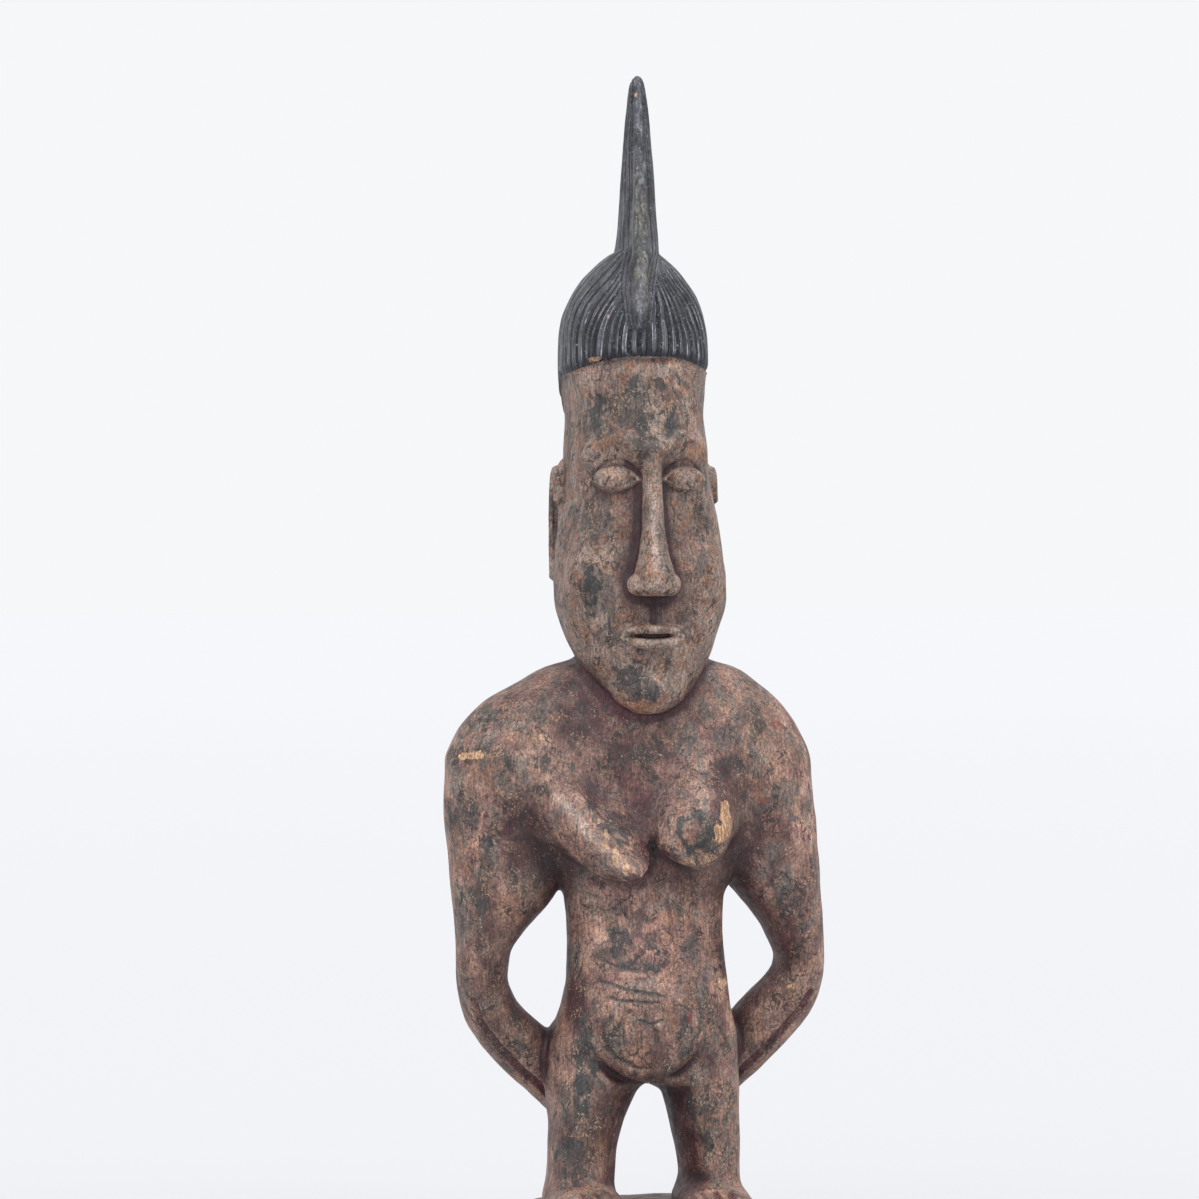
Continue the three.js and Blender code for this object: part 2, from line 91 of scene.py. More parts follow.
# Sections of the body. Each row: height, left, right, front, back, squareness of the section
# (2 is an ellipse). Left is -X and front is -Y.
TORSO = [
    [109, -82, 84, -32, 60, 2.4],
    [118, -84, 87, -42, 65, 2.4],
    [130, -85, 88, -50, 67, 2.4],
    [151, -80, 86, -57, 61, 2.4],
    [178, -71, 79, -59, 49, 2.3],
    [205, -67, 76, -54, 40, 2.3],
    [245, -66, 73, -47, 37, 2.3],
    [272, -68, 74, -48, 42, 2.3],
    [290, -80, 84, -51, 47, 2.3],
    [312, -112, 112, -54, 53, 2.3],
    [338, -146, 138, -57, 59, 2.4],
    [365, -168, 154, -59, 64, 2.5],
    [392, -173.5, 153.5, -58, 67, 2.5],
    [418, -163, 144, -55, 69, 2.4],
    [445, -138, 127, -50, 71, 2.3],
    [463, -107, 106, -44, 72, 2.2],
    [474, -86, 91, -39, 72, 2.2],
    [486, -54, 59, -32, 72, 2.1],
    [505, -46, 46, -26, 70, 2],
    [540, -44, 42, -20, 66, 2],
]
HEAD = [
    [436, -22, 18, -58, -26, 2],
    [446, -36, 32, -69, -6, 2.1],
    [468, -52, 48, -75, 28, 2.2],
    [504, -68, 65, -77, 52, 2.3],
    [539, -77, 75, -77, 68, 2.3],
    [574, -76, 73, -74, 79, 2.3],
    [628, -68, 65, -70, 89, 2.3],
    [648, -66, 61, -73, 92, 2.3],
    [666, -65, 59, -80, 94, 2.3],
    [695, -63, 56, -76, 97, 2.3],
    [723, -65, 58, -73, 99, 2.3],
    [748, -66, 59, -71, 99, 2.3],
    [762, -60, 53, -62, 90, 2.3],
]
HAIR = [
    [600, -73, 69, -74, 88, 2.2],
    [628, -71, 66, -75, 94, 2.2],
    [666, -68, 62, -82, 100, 2.2],
    [695, -66, 59, -80, 104, 2.2],
    [723, -68, 60, -77, 108, 2.2],
    [748, -69, 61.5, -76, 109, 2.2],
    [766, -68.5, 61, -73, 109, 2.2],
    [784, -66, 58.5, -69, 106, 2.2],
    [801, -60, 53.5, -62, 98, 2.1],
    [819, -49, 42, -54, 87, 2],
    [829, -39.5, 33, -49, 80, 2],
    [837, -31, 23, -44, 73, 2],
    [843, -22, 14, -38, 65, 2],
    [848, -8, 2, -25, 50, 2],
]
# The crest, which starts as a broad band down the front of the dome
CREST = [
    [768, -18, -7, -70, 40, 2.6],
    [785, -24, -1, -71, 60, 2.8],
    [806, -25, 3, -63, 70, 2.8],
    [829, -22, 10, -52.5, 74, 2.6],
    [842, -18, 15, -45, 70, 2.5],
    [856, -16.5, 15.5, -37, 62, 2.3],
    [875, -15.5, 14.5, -31, 54, 2.2],
    [905, -14.5, 13.5, -24, 45, 2.1],
    [940, -13, 11, -16, 33, 2.1],
    [972, -10.5, 8, -8, 22, 2.1],
    [990, -8.5, 5.5, -2, 16, 2],
    [997, -6, 3.5, 1, 12, 2],
    [1000, -3, 1, 4, 9, 2],
]
CREST_FOOT = 842
HAIRLINE_FRONT = 746
HAIRLINE_SIDE = 733
HAIRLINE_BACK = 628
HAIRLINE_POWER = 1.5  # of how far a place is from the side, towards the front or the back
HAIR_EDGE = 0.12  # the hair's lower edge is closed this share of the way inwards

# Stations down each arm. Each row: outer x, outer z, inner x, inner z, middle y, half depth.
# The outer and inner points are the two edges of the arm as the figure is seen from in front.
RIGHT_ARM = [
    [-128, 428, -96, 416, 8, 22],
    [-161, 405, -76, 372, 9, 38],
    [-174, 366, -66, 330, 9, 48],
    [-172, 325, -66, 296, 9, 50],
    [-168, 285, -78, 271, 9, 46],
    [-164.5, 245, -103, 243, 9, 41],
    [-163, 214, -116, 222, 10, 38],
    [-161, 190, -117, 203, 12, 36],
    [-155, 166, -110.5, 183, 15, 33],
    [-140, 142, -95, 166, 20, 31],
    [-118, 117, -72, 149, 26, 29],
    [-95, 98, -58, 134, 32, 27],
    [-80, 84, -50, 118, 36, 22],
]
LEFT_ARM = [
    [114, 428, 84, 416, 8, 22],
    [145, 405, 62, 372, 9, 38],
    [157, 366, 58, 330, 9, 48],
    [161, 325, 64, 300, 9, 50],
    [164.5, 285, 84, 280, 9, 46],
    [166.5, 245, 111, 246, 9, 41],
    [167.5, 214, 124, 219, 10, 38],
    [164, 190, 123, 211, 12, 36],
    [157, 169, 113, 198, 15, 33],
    [142, 148, 100, 184, 20, 31],
    [120, 124, 80, 161, 26, 29],
    [98, 102, 62, 142, 32, 27],
    [80, 84, 50, 118, 36, 22],
]
ARMS = (RIGHT_ARM, LEFT_ARM)
FOREARM_GROOVE_STATIONS = (7.5, 11.4)
FOREARM_GROOVE_TURN = (50, 60)  # degrees from the outer edge, on the right arm and the left

# Legs: height, left, right, front, back, squareness.
RIGHT_LEG = [
    [-4, -84, -23.5, -45, 44, 2.8],
    [12, -84, -23.5, -45, 44, 2.8],
    [45, -81, -22, -46, 46, 2.7],
    [71, -80, -16, -47, 50, 2.6],
    [90, -82, -8, -47, 54, 2.5],
    [101, -84, -2, -46, 57, 2.4],
    [111, -84, 6, -46, 58, 2.4],
    [140, -76, 6, -40, 58, 2.4],
]
LEFT_LEG = [
    [-4, 38, 88, -45, 44, 2.8],
    [12, 38, 88, -45, 44, 2.8],
    [45, 35, 87, -46, 46, 2.7],
    [71, 29, 87, -47, 50, 2.6],
    [90, 24, 87, -47, 54, 2.5],
    [101, 20, 88, -46, 57, 2.4],
    [111, 5, 88, -46, 58, 2.4],
    [140, 0, 80, -40, 58, 2.4],
]
LEG_CORNER = 1.7  # squareness of each leg's inner front corner, which is cut away

# The creases between the belly and the thighs, from the arch of the legs upwards. Each row:
# x, y, z, radius.
RIGHT_CREASE = [
    [-4, -34, 106, 7],
    [-17, -42, 113, 8],
    [-33, -46, 121, 6.5],
    [-47, -49, 135, 5],
    [-57, -51, 150, 3],
]
LEFT_CREASE = [
    [6, -34, 106, 7],
    [19, -43, 113, 8],
    [32, -47, 122, 6.5],
    [42, -50, 135, 5],
    [50, -52, 150, 3],
]

# Feet: half width, toes, heel and the length and height of the toes. How a foot narrows above
# its sole: height, inset of each side, inset of the toes, squareness.
FOOT_HALF_WIDTH = 32
FOOT_TOE = -94
FOOT_HEEL = 47
TOE_HEIGHT = 11
TOE_LENGTH = 29
TOES = 5
FOOT_CENTRES = (-54, 61)
FOOT_TAPER = [
    [0, 0, 0, 2.8],
    [7, 0, 0, 2.8],
    [11, 2, 8, 2.8],
    [18, 7, 34, 2.7],
    [24, 12, 50, 2.6],
]

# Breasts: from the chest to the tip, each row x, y, z, radius. Towards the middle of the chest
# each is wider by its own share and falls away from its crest by its own power: 1 is a straight
# slope and less than that is fuller.
RIGHT_BREAST = [
    [-80, -4, 398, 24],
    [-80, -24, 374, 32],
    [-67, -49, 347, 33],
    [-49, -71, 320, 27],
    [-36, -85, 303, 18],
    [-25, -93, 294, 7],
]
RIGHT_BREAST_INNER = (1.6, 0.8)
LEFT_BREAST = [
    [38, -10, 402, 26],
    [39, -32, 376, 36],
    [39, -54, 346, 37],
    [38, -71, 327, 31],
    [37, -83, 316, 22],
    [37, -89, 312, 11],
]
LEFT_BREAST_INNER = (1.25, 0.55)

# Rounded forms: middle x, y, z and half width, depth and height.
APRON = (-2, -42, 161, 48, 18, 49)
NAVEL = (5, -59, 163, 5.5, 5.5, 5.5)
BUTTOCK = (40, 37, 134, 41, 41, 38)

# The face: a calm one in the manner of the style, set out by the rules of proportion. The eyes
# are halfway down the head, the nose ends halfway from the eyes to the chin and the mouth is a
# third of the way from there to the chin.
CHIN = 436
CROWN = 845
EYE_LEVEL = (CHIN + CROWN) / 2
NOSE_BASE = (EYE_LEVEL + CHIN) / 2
MOUTH = NOSE_BASE - (NOSE_BASE - CHIN) / 3
BROW = EYE_LEVEL + 28
FACE_X = -2
EYE = (30, -57, EYE_LEVEL, 19, 17, 12)
NOSTRIL = (15, -84, NOSE_BASE + 10, 9, 13, 10)
UPPER_LIP = (0, -71, MOUTH + 5, 28, 16, 6)
LOWER_LIP = (0, -70, MOUTH - 6.5, 24, 16, 7)
CHIN_POINT = (0, -60, CHIN + 22, 26, 18, 18)
MUZZLE = (0, -52, MOUTH + 2, 40, 26, 30)
CHEEK = (46, -44, NOSE_BASE + 18, 24, 26, 30)
NOSE = [
    [0, -12, 12, -94, -60, 2.6],
    [0.04, -19, 19, -103, -60, 2.4],
    [0.14, -18, 18, -107, -60, 2.1],
    [0.3, -13, 13, -102, -60, 2],
    [0.6, -9, 9, -91, -60, 2],
    [1, -7, 7, -80, -60, 2],
]
EAR_TOP = EYE_LEVEL + 20
EAR_BOTTOM = NOSE_BASE + 8
EAR = (63, 20, (EAR_TOP + EAR_BOTTOM) / 2, 12, 18, (EAR_TOP - EAR_BOTTOM) / 2)
EAR_RIM = 6
EAR_HOLLOW_FORWARD = 4
EYE_SOCKET = (31, -86, EYE_LEVEL + 5, 28, 17, 20)
NOSTRIL_HOLE = ((9, -97, NOSE_BASE - 4), (9, -95, NOSE_BASE + 3))
NOSTRIL_HOLE_RADIUS = 0.9

# The flat ridge of hair down the front of the crest and the dome. Each row: height, middle x,
# half width, how far it stands out.
RIDGE = [
    [768, -11.5, 2, 0],
    [774, -11.5, 5, 2.5],
    [785, -11, 6.5, 3],
    [830, -8, 6.5, 3.5],
    [883, -4.7, 6, 3.5],
    [940, -3, 4.5, 2],
    [985, -2, 3, -1],
]
RIDGE_ROOT = 16
RIDGE_POWER = 0.6  # of sine and cosine: 1 is an ellipse, less is more like a box

# The hollow between the end of her right forearm and the hip
HAND_HOLLOW = ((-89, -22, 112), (-86, -14, 158))
HAND_HOLLOW_RADIUS = 2.4

# Where the forms melt into each other, in millimetres
BROAD = 4.5
SOFT = 3
MEDIUM = 1.6
CRISP = 0.6
BLEND_CHANGE = (0.12, 0.36)  # between these shares of a form's height one width takes over

# Curves


def smooth(low, high, value):
    """Rises smoothly from 0 at low to 1 at high."""
    t = np.clip((value - low) / (high - low), 0, 1)
    return t * t * (3 - 2 * t)


def through_rows(rows):
    """A smooth curve through rows whose first number runs upwards, with no overshoot."""
    rows = np.array(rows, float)
    at = rows[:, 0]
    step = np.diff(rows, axis=0) / np.diff(at)[:, None]
    slope = np.concatenate([step[:1], np.zeros_like(step[1:]), step[-1:]])
    before, after = step[:-1], step[1:]
    same_way = before * after > 0
    total = np.where(same_way, before + after, 1)
    slope[1:-1] = np.where(same_way, 2 * before * after / total, 0)

    def value(t):
        t = np.clip(np.asarray(t, float), at[0], at[-1])
        i = np.clip(np.searchsorted(at, t, side="right") - 1, 0, len(at) - 2)
        width = (at[i + 1] - at[i])[..., None]
        s = (t - at[i])[..., None] / width
        rise = rows[i + 1] - rows[i]
        a = slope[i] * width - rise
        b = rise - slope[i + 1] * width
        return rows[i] + rise * s + s * (1 - s) * (a * (1 - s) + b * s)

    return value


def through_stations(stations):
    """A smooth curve through stations, by their number in the list."""
    return through_rows([[i, *station] for i, station in enumerate(stations)])


def columns(row):
    """A row's numbers without the first, which says where the row is."""
    return np.moveaxis(row, -1, 0)[1:]


def on_section(row, angle, square=None):
    """The two coordinates of a rounded section: angle 0 is right, a quarter turn is back."""
    left, right, front, back, own = columns(row)
    square = own if square is None else square
    c, s = np.cos(angle), np.sin(angle)
    across = np.sign(c) * np.abs(c) ** (2 / square)
    deep = np.sign(s) * np.abs(s) ** (2 / square)
    x = (left + right) / 2 + across * (right - left) / 2
    y = (front + back) / 2 + deep * (back - front) / 2
    return x, y


def angle_in_section(row, x, y):
    """The angle of a point in a rounded section."""
    left, right, front, back, square = columns(row)
    across = (2 * x - left - right) / (right - left)
    deep = (2 * y - front - back) / (back - front)
    c = np.sign(across) * np.abs(across) ** (square / 2)
    s = np.sign(deep) * np.abs(deep) ** (square / 2)
    return np.arctan2(s, c)


# The distance field

base_edges = (
    (FOOT_CENTRES[0] - FOOT_HALF_WIDTH) * U - BASE_RIM_SIDE,
    (FOOT_CENTRES[1] + FOOT_HALF_WIDTH) * U + BASE_RIM_SIDE,
    FOOT_TOE * U - BASE_RIM_FRONT,
    FOOT_HEEL * U + BASE_RIM_BACK,
)
# From the carving's own place to the frame's, whose origin is the middle of the underside.
SHIFT = np.array([
    -(base_edges[0] + base_edges[1]) / 2,
    -(base_edges[2] + base_edges[3]) / 2,
    BASE_THICKNESS,
])
FAR = VOXEL * BAND_VOXELS
ALMOST_ALL = 0.999  # of it still counts as within reach
GRID_LOW = np.floor((np.array(cad_low) / MM - SHIFT - 2 * FAR) / VOXEL).astype(int)
GRID_HIGH = np.ceil((np.array(cad_high) / MM - SHIFT + 2 * FAR) / VOXEL).astype(int)
GRID_TRANSFORM = vdb.createLinearTransform(voxelSize=VOXEL)
field = np.full(GRID_HIGH - GRID_LOW + 1, FAR, np.float32)


def part_of_field(low, high):
    """The field between two grid places, as a view."""
    low, high = low - GRID_LOW, high - GRID_LOW
    return field[low[0]:high[0] + 1, low[1]:high[1] + 1, low[2]:high[2] + 1]


def loft(ring, around, along):
    """The distance field of a closed solid through rings, in thousandths, and its place."""
    v = np.linspace(0, 1, along + 1)[:, None]
    angle = np.linspace(0, 2 * np.pi, around, endpoint=False)[None, :]
    rings = np.stack(np.broadcast_arrays(*ring(v, angle)), axis=-1).astype(float)
    ends = [(rings[i, 0] + rings[i, around // 2]) / 2 for i in (0, -1)]
    points = np.concatenate([rings.reshape(-1, 3), ends]) * U
    number = np.arange(rings.size // 3).reshape(along + 1, around)
    after = np.roll(number, -1, axis=1)
    quads = np.stack([number[:-1], after[:-1], after[1:], number[1:]], axis=-1).reshape(-1, 4)
    low_end = np.stack([np.full(around, len(points) - 2), after[0], number[0]], axis=1)
    high_end = np.stack([np.full(around, len(points) - 1), number[-1], after[-1]], axis=1)
    grid = vdb.FloatGrid.createLevelSetFromPolygons(
        points.astype(np.float32),
        triangles=np.concatenate([low_end, high_end]).astype(np.int32),
        quads=quads.astype(np.int32),
        transform=GRID_TRANSFORM,
        halfWidth=BAND_VOXELS,
    )
    low, high = (np.array(place) for place in grid.evalActiveVoxelBoundingBox())
    low, high = np.maximum(low, GRID_LOW), np.minimum(high, GRID_HIGH)
    form = np.empty(high - low + 1, np.float32)
    grid.copyToArray(form, ijk=tuple(int(n) for n in low))
    return form, low


def column(rows, inner=0):
    """The field of a solid through horizontal sections.

    A leg has the side that its cut corner in front is on, 1 for right and -1 for left."""
    section = through_rows(rows)
    low, high = rows[0][0], rows[-1][0]

    def ring(v, angle):
        z = low + (high - low) * v
        row = section(z)
        corner = (np.cos(angle) * inner > 0) & (np.sin(angle) < 0)
        x, y = on_section(row, angle, np.where(corner, LEG_CORNER, row[..., 5]))
        return x, y, z

    return loft(ring, BODY_AROUND, max(8, int((high - low) * U)))


def ellipsoid(shape):
    x, y, z, half_width, half_depth, half_height = shape
    around = max(24, int(max(half_width, half_depth) * U * 12))

    def ring(v, angle):
        turn = np.pi * (v - 0.5)
        spread = np.cos(turn)
        return (
            x + spread * np.cos(angle) * half_width,
            y + spread * np.sin(angle) * half_depth,
            z + np.sin(turn) * half_height,
        )

    return loft(ring, around, around // 2)


def melt(made, blend, side):
    """Joins a form to the field, side 1, or cuts it out, side -1, rounded over the blend's width."""
    form, low = made
    there = part_of_field(low, low + np.array(form.shape) - 1)
    near = np.maximum(np.abs(there), np.abs(form)) < FAR * ALMOST_ALL
    close = np.clip(blend - np.abs(there - side * form), 0, None) / blend
    rounded = np.where(near, close * close * blend / 4, 0)
    there[...] = side * (np.minimum(side * there, form) - rounded)


def join(made, blend, high_blend=None):
    """Adds a form. With a second width the first holds at its foot and the second from there up."""
    if high_blend:
        share = np.linspace(0, 1, made[0].shape[2], dtype=np.float32)
        blend = blend + (high_blend - blend) * smooth(*BLEND_CHANGE, share)
    melt(made, blend, 1)


def cut(made, blend):
    melt(made, blend, -1)


def rod(start, end, radius):
    """The field of a round-ended rod between two points in thousandths."""
    start, end = np.array(start, float) * U, np.array(end, float) * U
    reach = radius + FAR
    low = np.floor((np.minimum(start, end) - reach) / VOXEL).astype(int)
    high = np.ceil((np.maximum(start, end) + reach) / VOXEL).astype(int)
    low, high = np.maximum(low, GRID_LOW), np.minimum(high, GRID_HIGH)
    axes = [np.arange(low[k], high[k] + 1, dtype=np.float32) * VOXEL for k in range(3)]
    places = np.stack(np.meshgrid(*axes, indexing="ij"), axis=-1) - start
    way = end - start
    share = np.clip(places @ way / max(way @ way, 1e-9), 0, 1)
    gap = np.linalg.norm(places - share[..., None] * way, axis=-1) - radius
    return np.clip(gap, -FAR, FAR).astype(np.float32), low


def weighed(table, at, part):
    """A grid's values, weighed over the corners of each place's cell."""
    whole = np.floor(at).astype(int)
    result = np.zeros(len(at))
    for corner in range(8):
        step = np.array([corner & 1, corner >> 1 & 1, corner >> 2 & 1])
        weight = np.prod(np.where(step, part, 1 - part), axis=1)
        i, j, k = ((whole + step) % table.shape).T
        result += weight * table[i, j, k]
    return result


def sample(values, points, step=1):
    """A grid's values at points in millimetres.

    A grid with a step has that many of the field's places along each side of its cells."""
    at = (points / VOXEL - GRID_LOW - (step - 1) / 2) / step
    at = np.clip(at, 0, np.array(values.shape) - 1.001)
    return weighed(values, at, at % 1)


# The forms


def hairline_at(angle):
    """The height of the hairline at an angle round the head."""
    frontness = -np.sin(angle)
    end = np.where(frontness > 0, HAIRLINE_FRONT, HAIRLINE_BACK)
    return HAIRLINE_SIDE + (end - HAIRLINE_SIDE) * np.abs(frontness) ** HAIRLINE_POWER


hair_section = through_rows(HAIR)
crest_section = through_rows(CREST)


def hair_form():
    """The dome of hair from its lower edge, which stands a little proud, to its top."""
    top = HAIR[-1][0]

    def ring(v, angle):
        rise = np.clip((v * HAIR_STEPS - 1) / (HAIR_STEPS - 1), 0, None)
        line = hairline_at(angle)
        z = line + (top - line) * rise
        row = hair_section(z)
        x, y = on_section(row, angle)
        inwards = np.where(v == 0, HAIR_EDGE, 0)
        x += ((row[..., 1] + row[..., 2]) / 2 - x) * inwards
        y += ((row[..., 3] + row[..., 4]) / 2 - y) * inwards
        return x, y, z

    return loft(ring, HAIR_AROUND, HAIR_STEPS)


ridge_at = through_rows(RIDGE)


def ridge_form():
    low, high = RIDGE[0][0], RIDGE[-1][0]

    def ring(v, angle):
        z = low + (high - low) * v
        middle, half_width, rise = columns(ridge_at(z))
        front = crest_section(z)[..., 3] - rise
        c, s = np.cos(angle), np.sin(angle)
        x = middle + np.sign(c) * np.abs(c) ** RIDGE_POWER * half_width
        y = front + (1 + np.sign(s) * np.abs(s) ** RIDGE_POWER) * RIDGE_ROOT / 2
        return x, y, z

    return loft(ring, RIDGE_AROUND, RIDGE_STEPS)


def on_arm(row, across, deep):
    """A place on an arm: across is 1 at its outer edge and -1 at its inner one, deep is 1 behind."""
    outer_x, outer_z, inner_x, inner_z, y, depth = columns(row)
    x = (outer_x + inner_x) / 2 + across * (outer_x - inner_x) / 2
    z = (outer_z + inner_z) / 2 + across * (outer_z - inner_z) / 2
    return x, y + deep * depth, z


def arm_form(stations, side):
    path = through_stations(stations)

    def ring(v, angle):
        row = path((1 - v) * (len(stations) - 1))
        return on_arm(row, np.cos(angle), side * np.sin(angle))

    return loft(ring, ARM_AROUND, ARM_STEPS)


def groove_paths():
    """Each forearm's groove as points on the arm's skin, in millimetres."""
    for stations, turn in zip(ARMS, FOREARM_GROOVE_TURN):
        row = through_stations(stations)(np.linspace(*FOREARM_GROOVE_STATIONS, GROOVE_POINTS))
        turn = math.radians(turn)
        yield np.stack(on_arm(row, math.cos(turn), -math.sin(turn)), axis=1) * U


def place_along(stations, share):
    """Where a form's middle is at a share of its path, with its radius, and how it runs there."""
    path = through_stations(stations)
    last = len(stations) - 1
    at = share * last
    run = path(np.minimum(at + 0.5, last)) - path(np.maximum(at - 0.5, 0))
    return columns(path(at)), columns(run)[:3]


def breast_form(stations, inner, side):
    wider, power = inner

    def ring(v, angle):
        (x, y, z, radius), (_, run_y, run_z) = place_along(stations, 1 - v)
        length = np.hypot(run_y, run_z)
        across = np.cos(angle)
        inwards = across * side < 0
        slope = np.where(inwards, (1 - np.abs(across)) ** power, np.sqrt(1 - across ** 2))
        lift = np.sign(np.sin(angle)) * slope * radius
        return (
            x + across * radius * np.where(inwards, wider, 1),
            y - lift * run_z / length,
            z + lift * run_y / length,
        )

    return loft(ring, BREAST_AROUND, BREAST_STEPS)


def crease_form(stations):
    def ring(v, angle):
        (x, y, z, radius), (run_x, _, run_z) = place_along(stations, v)
        across = np.cos(angle) * radius / np.hypot(run_x, run_z)
        return x + across * run_z, y + np.sin(angle) * radius, z - across * run_x

    return loft(ring, CREASE_AROUND, CREASE_STEPS)


def nose_form():
    section = through_rows(NOSE)

    def ring(v, angle):
        x, y = on_section(section(v), angle)
        return FACE_X + x, y, NOSE_BASE + v * (BROW - NOSE_BASE)

    return loft(ring, NOSE_AROUND, NOSE_STEPS)


def face_oval(shape, side=1):
    return ellipsoid((FACE_X + side * shape[0], *shape[1:]))


def join_face():
    for side in (-1, 1):
        cut(face_oval(EYE_SOCKET, side), SOFT)
        join(face_oval(EYE, side), CRISP)
    join(nose_form(), MEDIUM)
    for side in (-1, 1):
        join(face_oval(NOSTRIL, side), CRISP)
        ends = [(FACE_X + side * x, y, z) for x, y, z in NOSTRIL_HOLE]
        cut(rod(*ends, NOSTRIL_HOLE_RADIUS), CRISP)
        join(face_oval(CHEEK, side), SOFT)
    for shape, blend in ((MUZZLE, SOFT), (UPPER_LIP, CRISP), (LOWER_LIP, CRISP), (CHIN_POINT, SOFT)):
        join(face_oval(shape), blend)


def join_ear(side):
    x, y, z, half_width, half_depth, half_height = EAR
    join(face_oval(EAR, side), CRISP)
    hollow = (
        x + half_width, y - EAR_HOLLOW_FORWARD, z,
        EAR_RIM, half_depth - EAR_RIM, half_height - EAR_RIM,
    )
    cut(face_oval(hollow, side), CRISP)


def join_foot(centre):
    left, right = centre - FOOT_HALF_WIDTH, centre + FOOT_HALF_WIDTH
    rows = [
        [z if i else -FOOT_SINK / U, left + side, right - side, FOOT_TOE + front, FOOT_HEEL, square]
        for i, (z, side, front, square) in enumerate(FOOT_TAPER)
    ]
    join(column(rows), MEDIUM)
    for toe in range(1, TOES):
        x = left + (right - left) * toe / TOES
        start = (x, FOOT_TOE - TOE_LENGTH / 4, TOE_HEIGHT / 2)
        end = (x, FOOT_TOE + TOE_LENGTH, TOE_HEIGHT * 1.5)
        cut(rod(start, end, TOE_GROOVE_RADIUS), CRISP)


def base_form():
    left, right, front, back = base_edges

    def level(z, inset):
        return [z, left + inset, right - inset, front + inset, back - inset, BASE_SQUARENESS]

    levels = [
        level(-BASE_THICKNESS, BASE_FOOT_BEVEL),
        level(BASE_FOOT_BEVEL - BASE_THICKNESS, 0),
        level(-BASE_TOP_ROUND, 0),
        level(-BASE_TOP_ROUND * BASE_EDGE_MIDDLE, BASE_TOP_ROUND * BASE_EDGE_MIDDLE),
        level(0, BASE_TOP_ROUND),
    ]
    levels = np.array(levels)

    def ring(v, angle):
        row = levels[np.round(v * (len(levels) - 1)).astype(int)]
        x, y = on_section(row, angle)
        return x / U, y / U, row[..., 0] / U

    return loft(ring, BASE_AROUND, len(levels) - 1)


def build_field():
    join(column(TORSO), SOFT)
    for side in (-1, 1):
        join(ellipsoid((side * BUTTOCK[0], *BUTTOCK[1:])), SOFT)
    for side, stations in zip((-1, 1), ARMS):
        join(arm_form(stations, side), MEDIUM)
    join(breast_form(RIGHT_BREAST, RIGHT_BREAST_INNER, -1), CRISP, BROAD)
    join(breast_form(LEFT_BREAST, LEFT_BREAST_INNER, 1), CRISP, BROAD)
    for side, rows in ((1, RIGHT_LEG), (-1, LEFT_LEG)):
        join(column(rows, side), MEDIUM)
    for stations in (RIGHT_CREASE, LEFT_CREASE):
        cut(crease_form(stations), CRISP)
    for path in groove_paths():
        path = path / U
        for start, end in zip(path[:-1], path[1:]):
            cut(rod(start, end, FOREARM_GROOVE_WIDTH / 2), CRISP / 2)
    cut(rod(*HAND_HOLLOW, HAND_HOLLOW_RADIUS), CRISP)
    join(ellipsoid(APRON), CRISP, SOFT)
    join(ellipsoid(NAVEL), CRISP)
    join(column(HEAD), MEDIUM)
    join_face()
    for side in (-1, 1):
        join_ear(side)
    join(hair_form(), CRISP / 2)
    join(column(CREST), CRISP)
    join(ridge_form(), CRISP)
    for centre in FOOT_CENTRES:
        join_foot(centre)
    join(base_form(), CRISP)


build_field()

# The surface carving: how far the skin stands out, in millimetres, at places in millimetres

STRANDS = 24  # on each side of the head
STRAND_DEPTH = 0.8
LOCK_DEPTH = 1.2  # of the cuts between the broad locks over the forehead
LOCK_TOP = 78  # how far up from the hairline the locks reach, thousandths
LOCK_TURN = 1.3  # and how far round from the front, radians
CREST_LINE_DEPTH = 0.5
STRAND_LOBE = 6  # how much further a strand's middle reaches down than its sides, thousandths
STRAND_END = 8  # over this height a strand rises from the hairline to its full depth
STRAND_FAN = 1.15  # how much closer the front strands stand near the crest than at their ends
STRAND_FAN_WIDTH = 0.9  # and how far round from the front they do, radians
STRAND_WIDTHS = (0.6, 1.4)  # the least and the most, as shares of the usual one
STRAND_DEPTHS = (0.35, 1)  # the same
NOISE_CELLS = 32
# Layers of noise: the height of each, the size of its lumps in millimetres and its seed.
STRAND_WAVE = ((0.07, 15, 21), (0.02, 5, 22))  # radians
KNIFE_MARKS = ((0.22, 8, 31), (0.1, 3.3, 32))  # millimetres
RAGGED_EDGE = ((0.45, 1.6, 41), (0.25, 0.7, 42))
KNIFE_MARKS_IN_HAIR = 0.4  # of their height elsewhere


def noise(places, size, seed):
    """Smooth noise from -1 to 1 in lumps of about that size."""
    table = np.random.default_rng(seed).uniform(-1, 1, (NOISE_CELLS,) * 3)
    at = places / size
    return weighed(table, at, smooth(0, 1, at - np.floor(at)))


def layered(places, layers):
    return sum(height * noise(places, size, seed) for height, size, seed in layers)


def strand_edges(side):
    """The angles between the strands of one side, from the front, as uneven as by hand."""
    widths = np.random.default_rng(11 + side).uniform(*STRAND_WIDTHS, STRANDS)
    return np.concatenate([[0], np.cumsum(widths / widths.sum())]) * np.pi


def hair_places(places):
    """Where places lie in the hair: height over the hairline in thousandths, the angle round
    the head or the crest, and whether it is the crest's."""
    x, y, z = (places / U).T
    crest = crest_section(z)
    band = (y < 0) & (z > CREST[0][0] + 4) & (x > crest[:, 1] - 1) & (x < crest[:, 2] + 1)
    on_crest = band | (z > CREST_FOOT)
    angle = angle_in_section(np.where(on_crest[:, None], crest, hair_section(z)), x, y)
    over = z - hairline_at(angle)
    return np.where(z > HAIRLINE_BACK - 20, over, -100), angle, on_crest


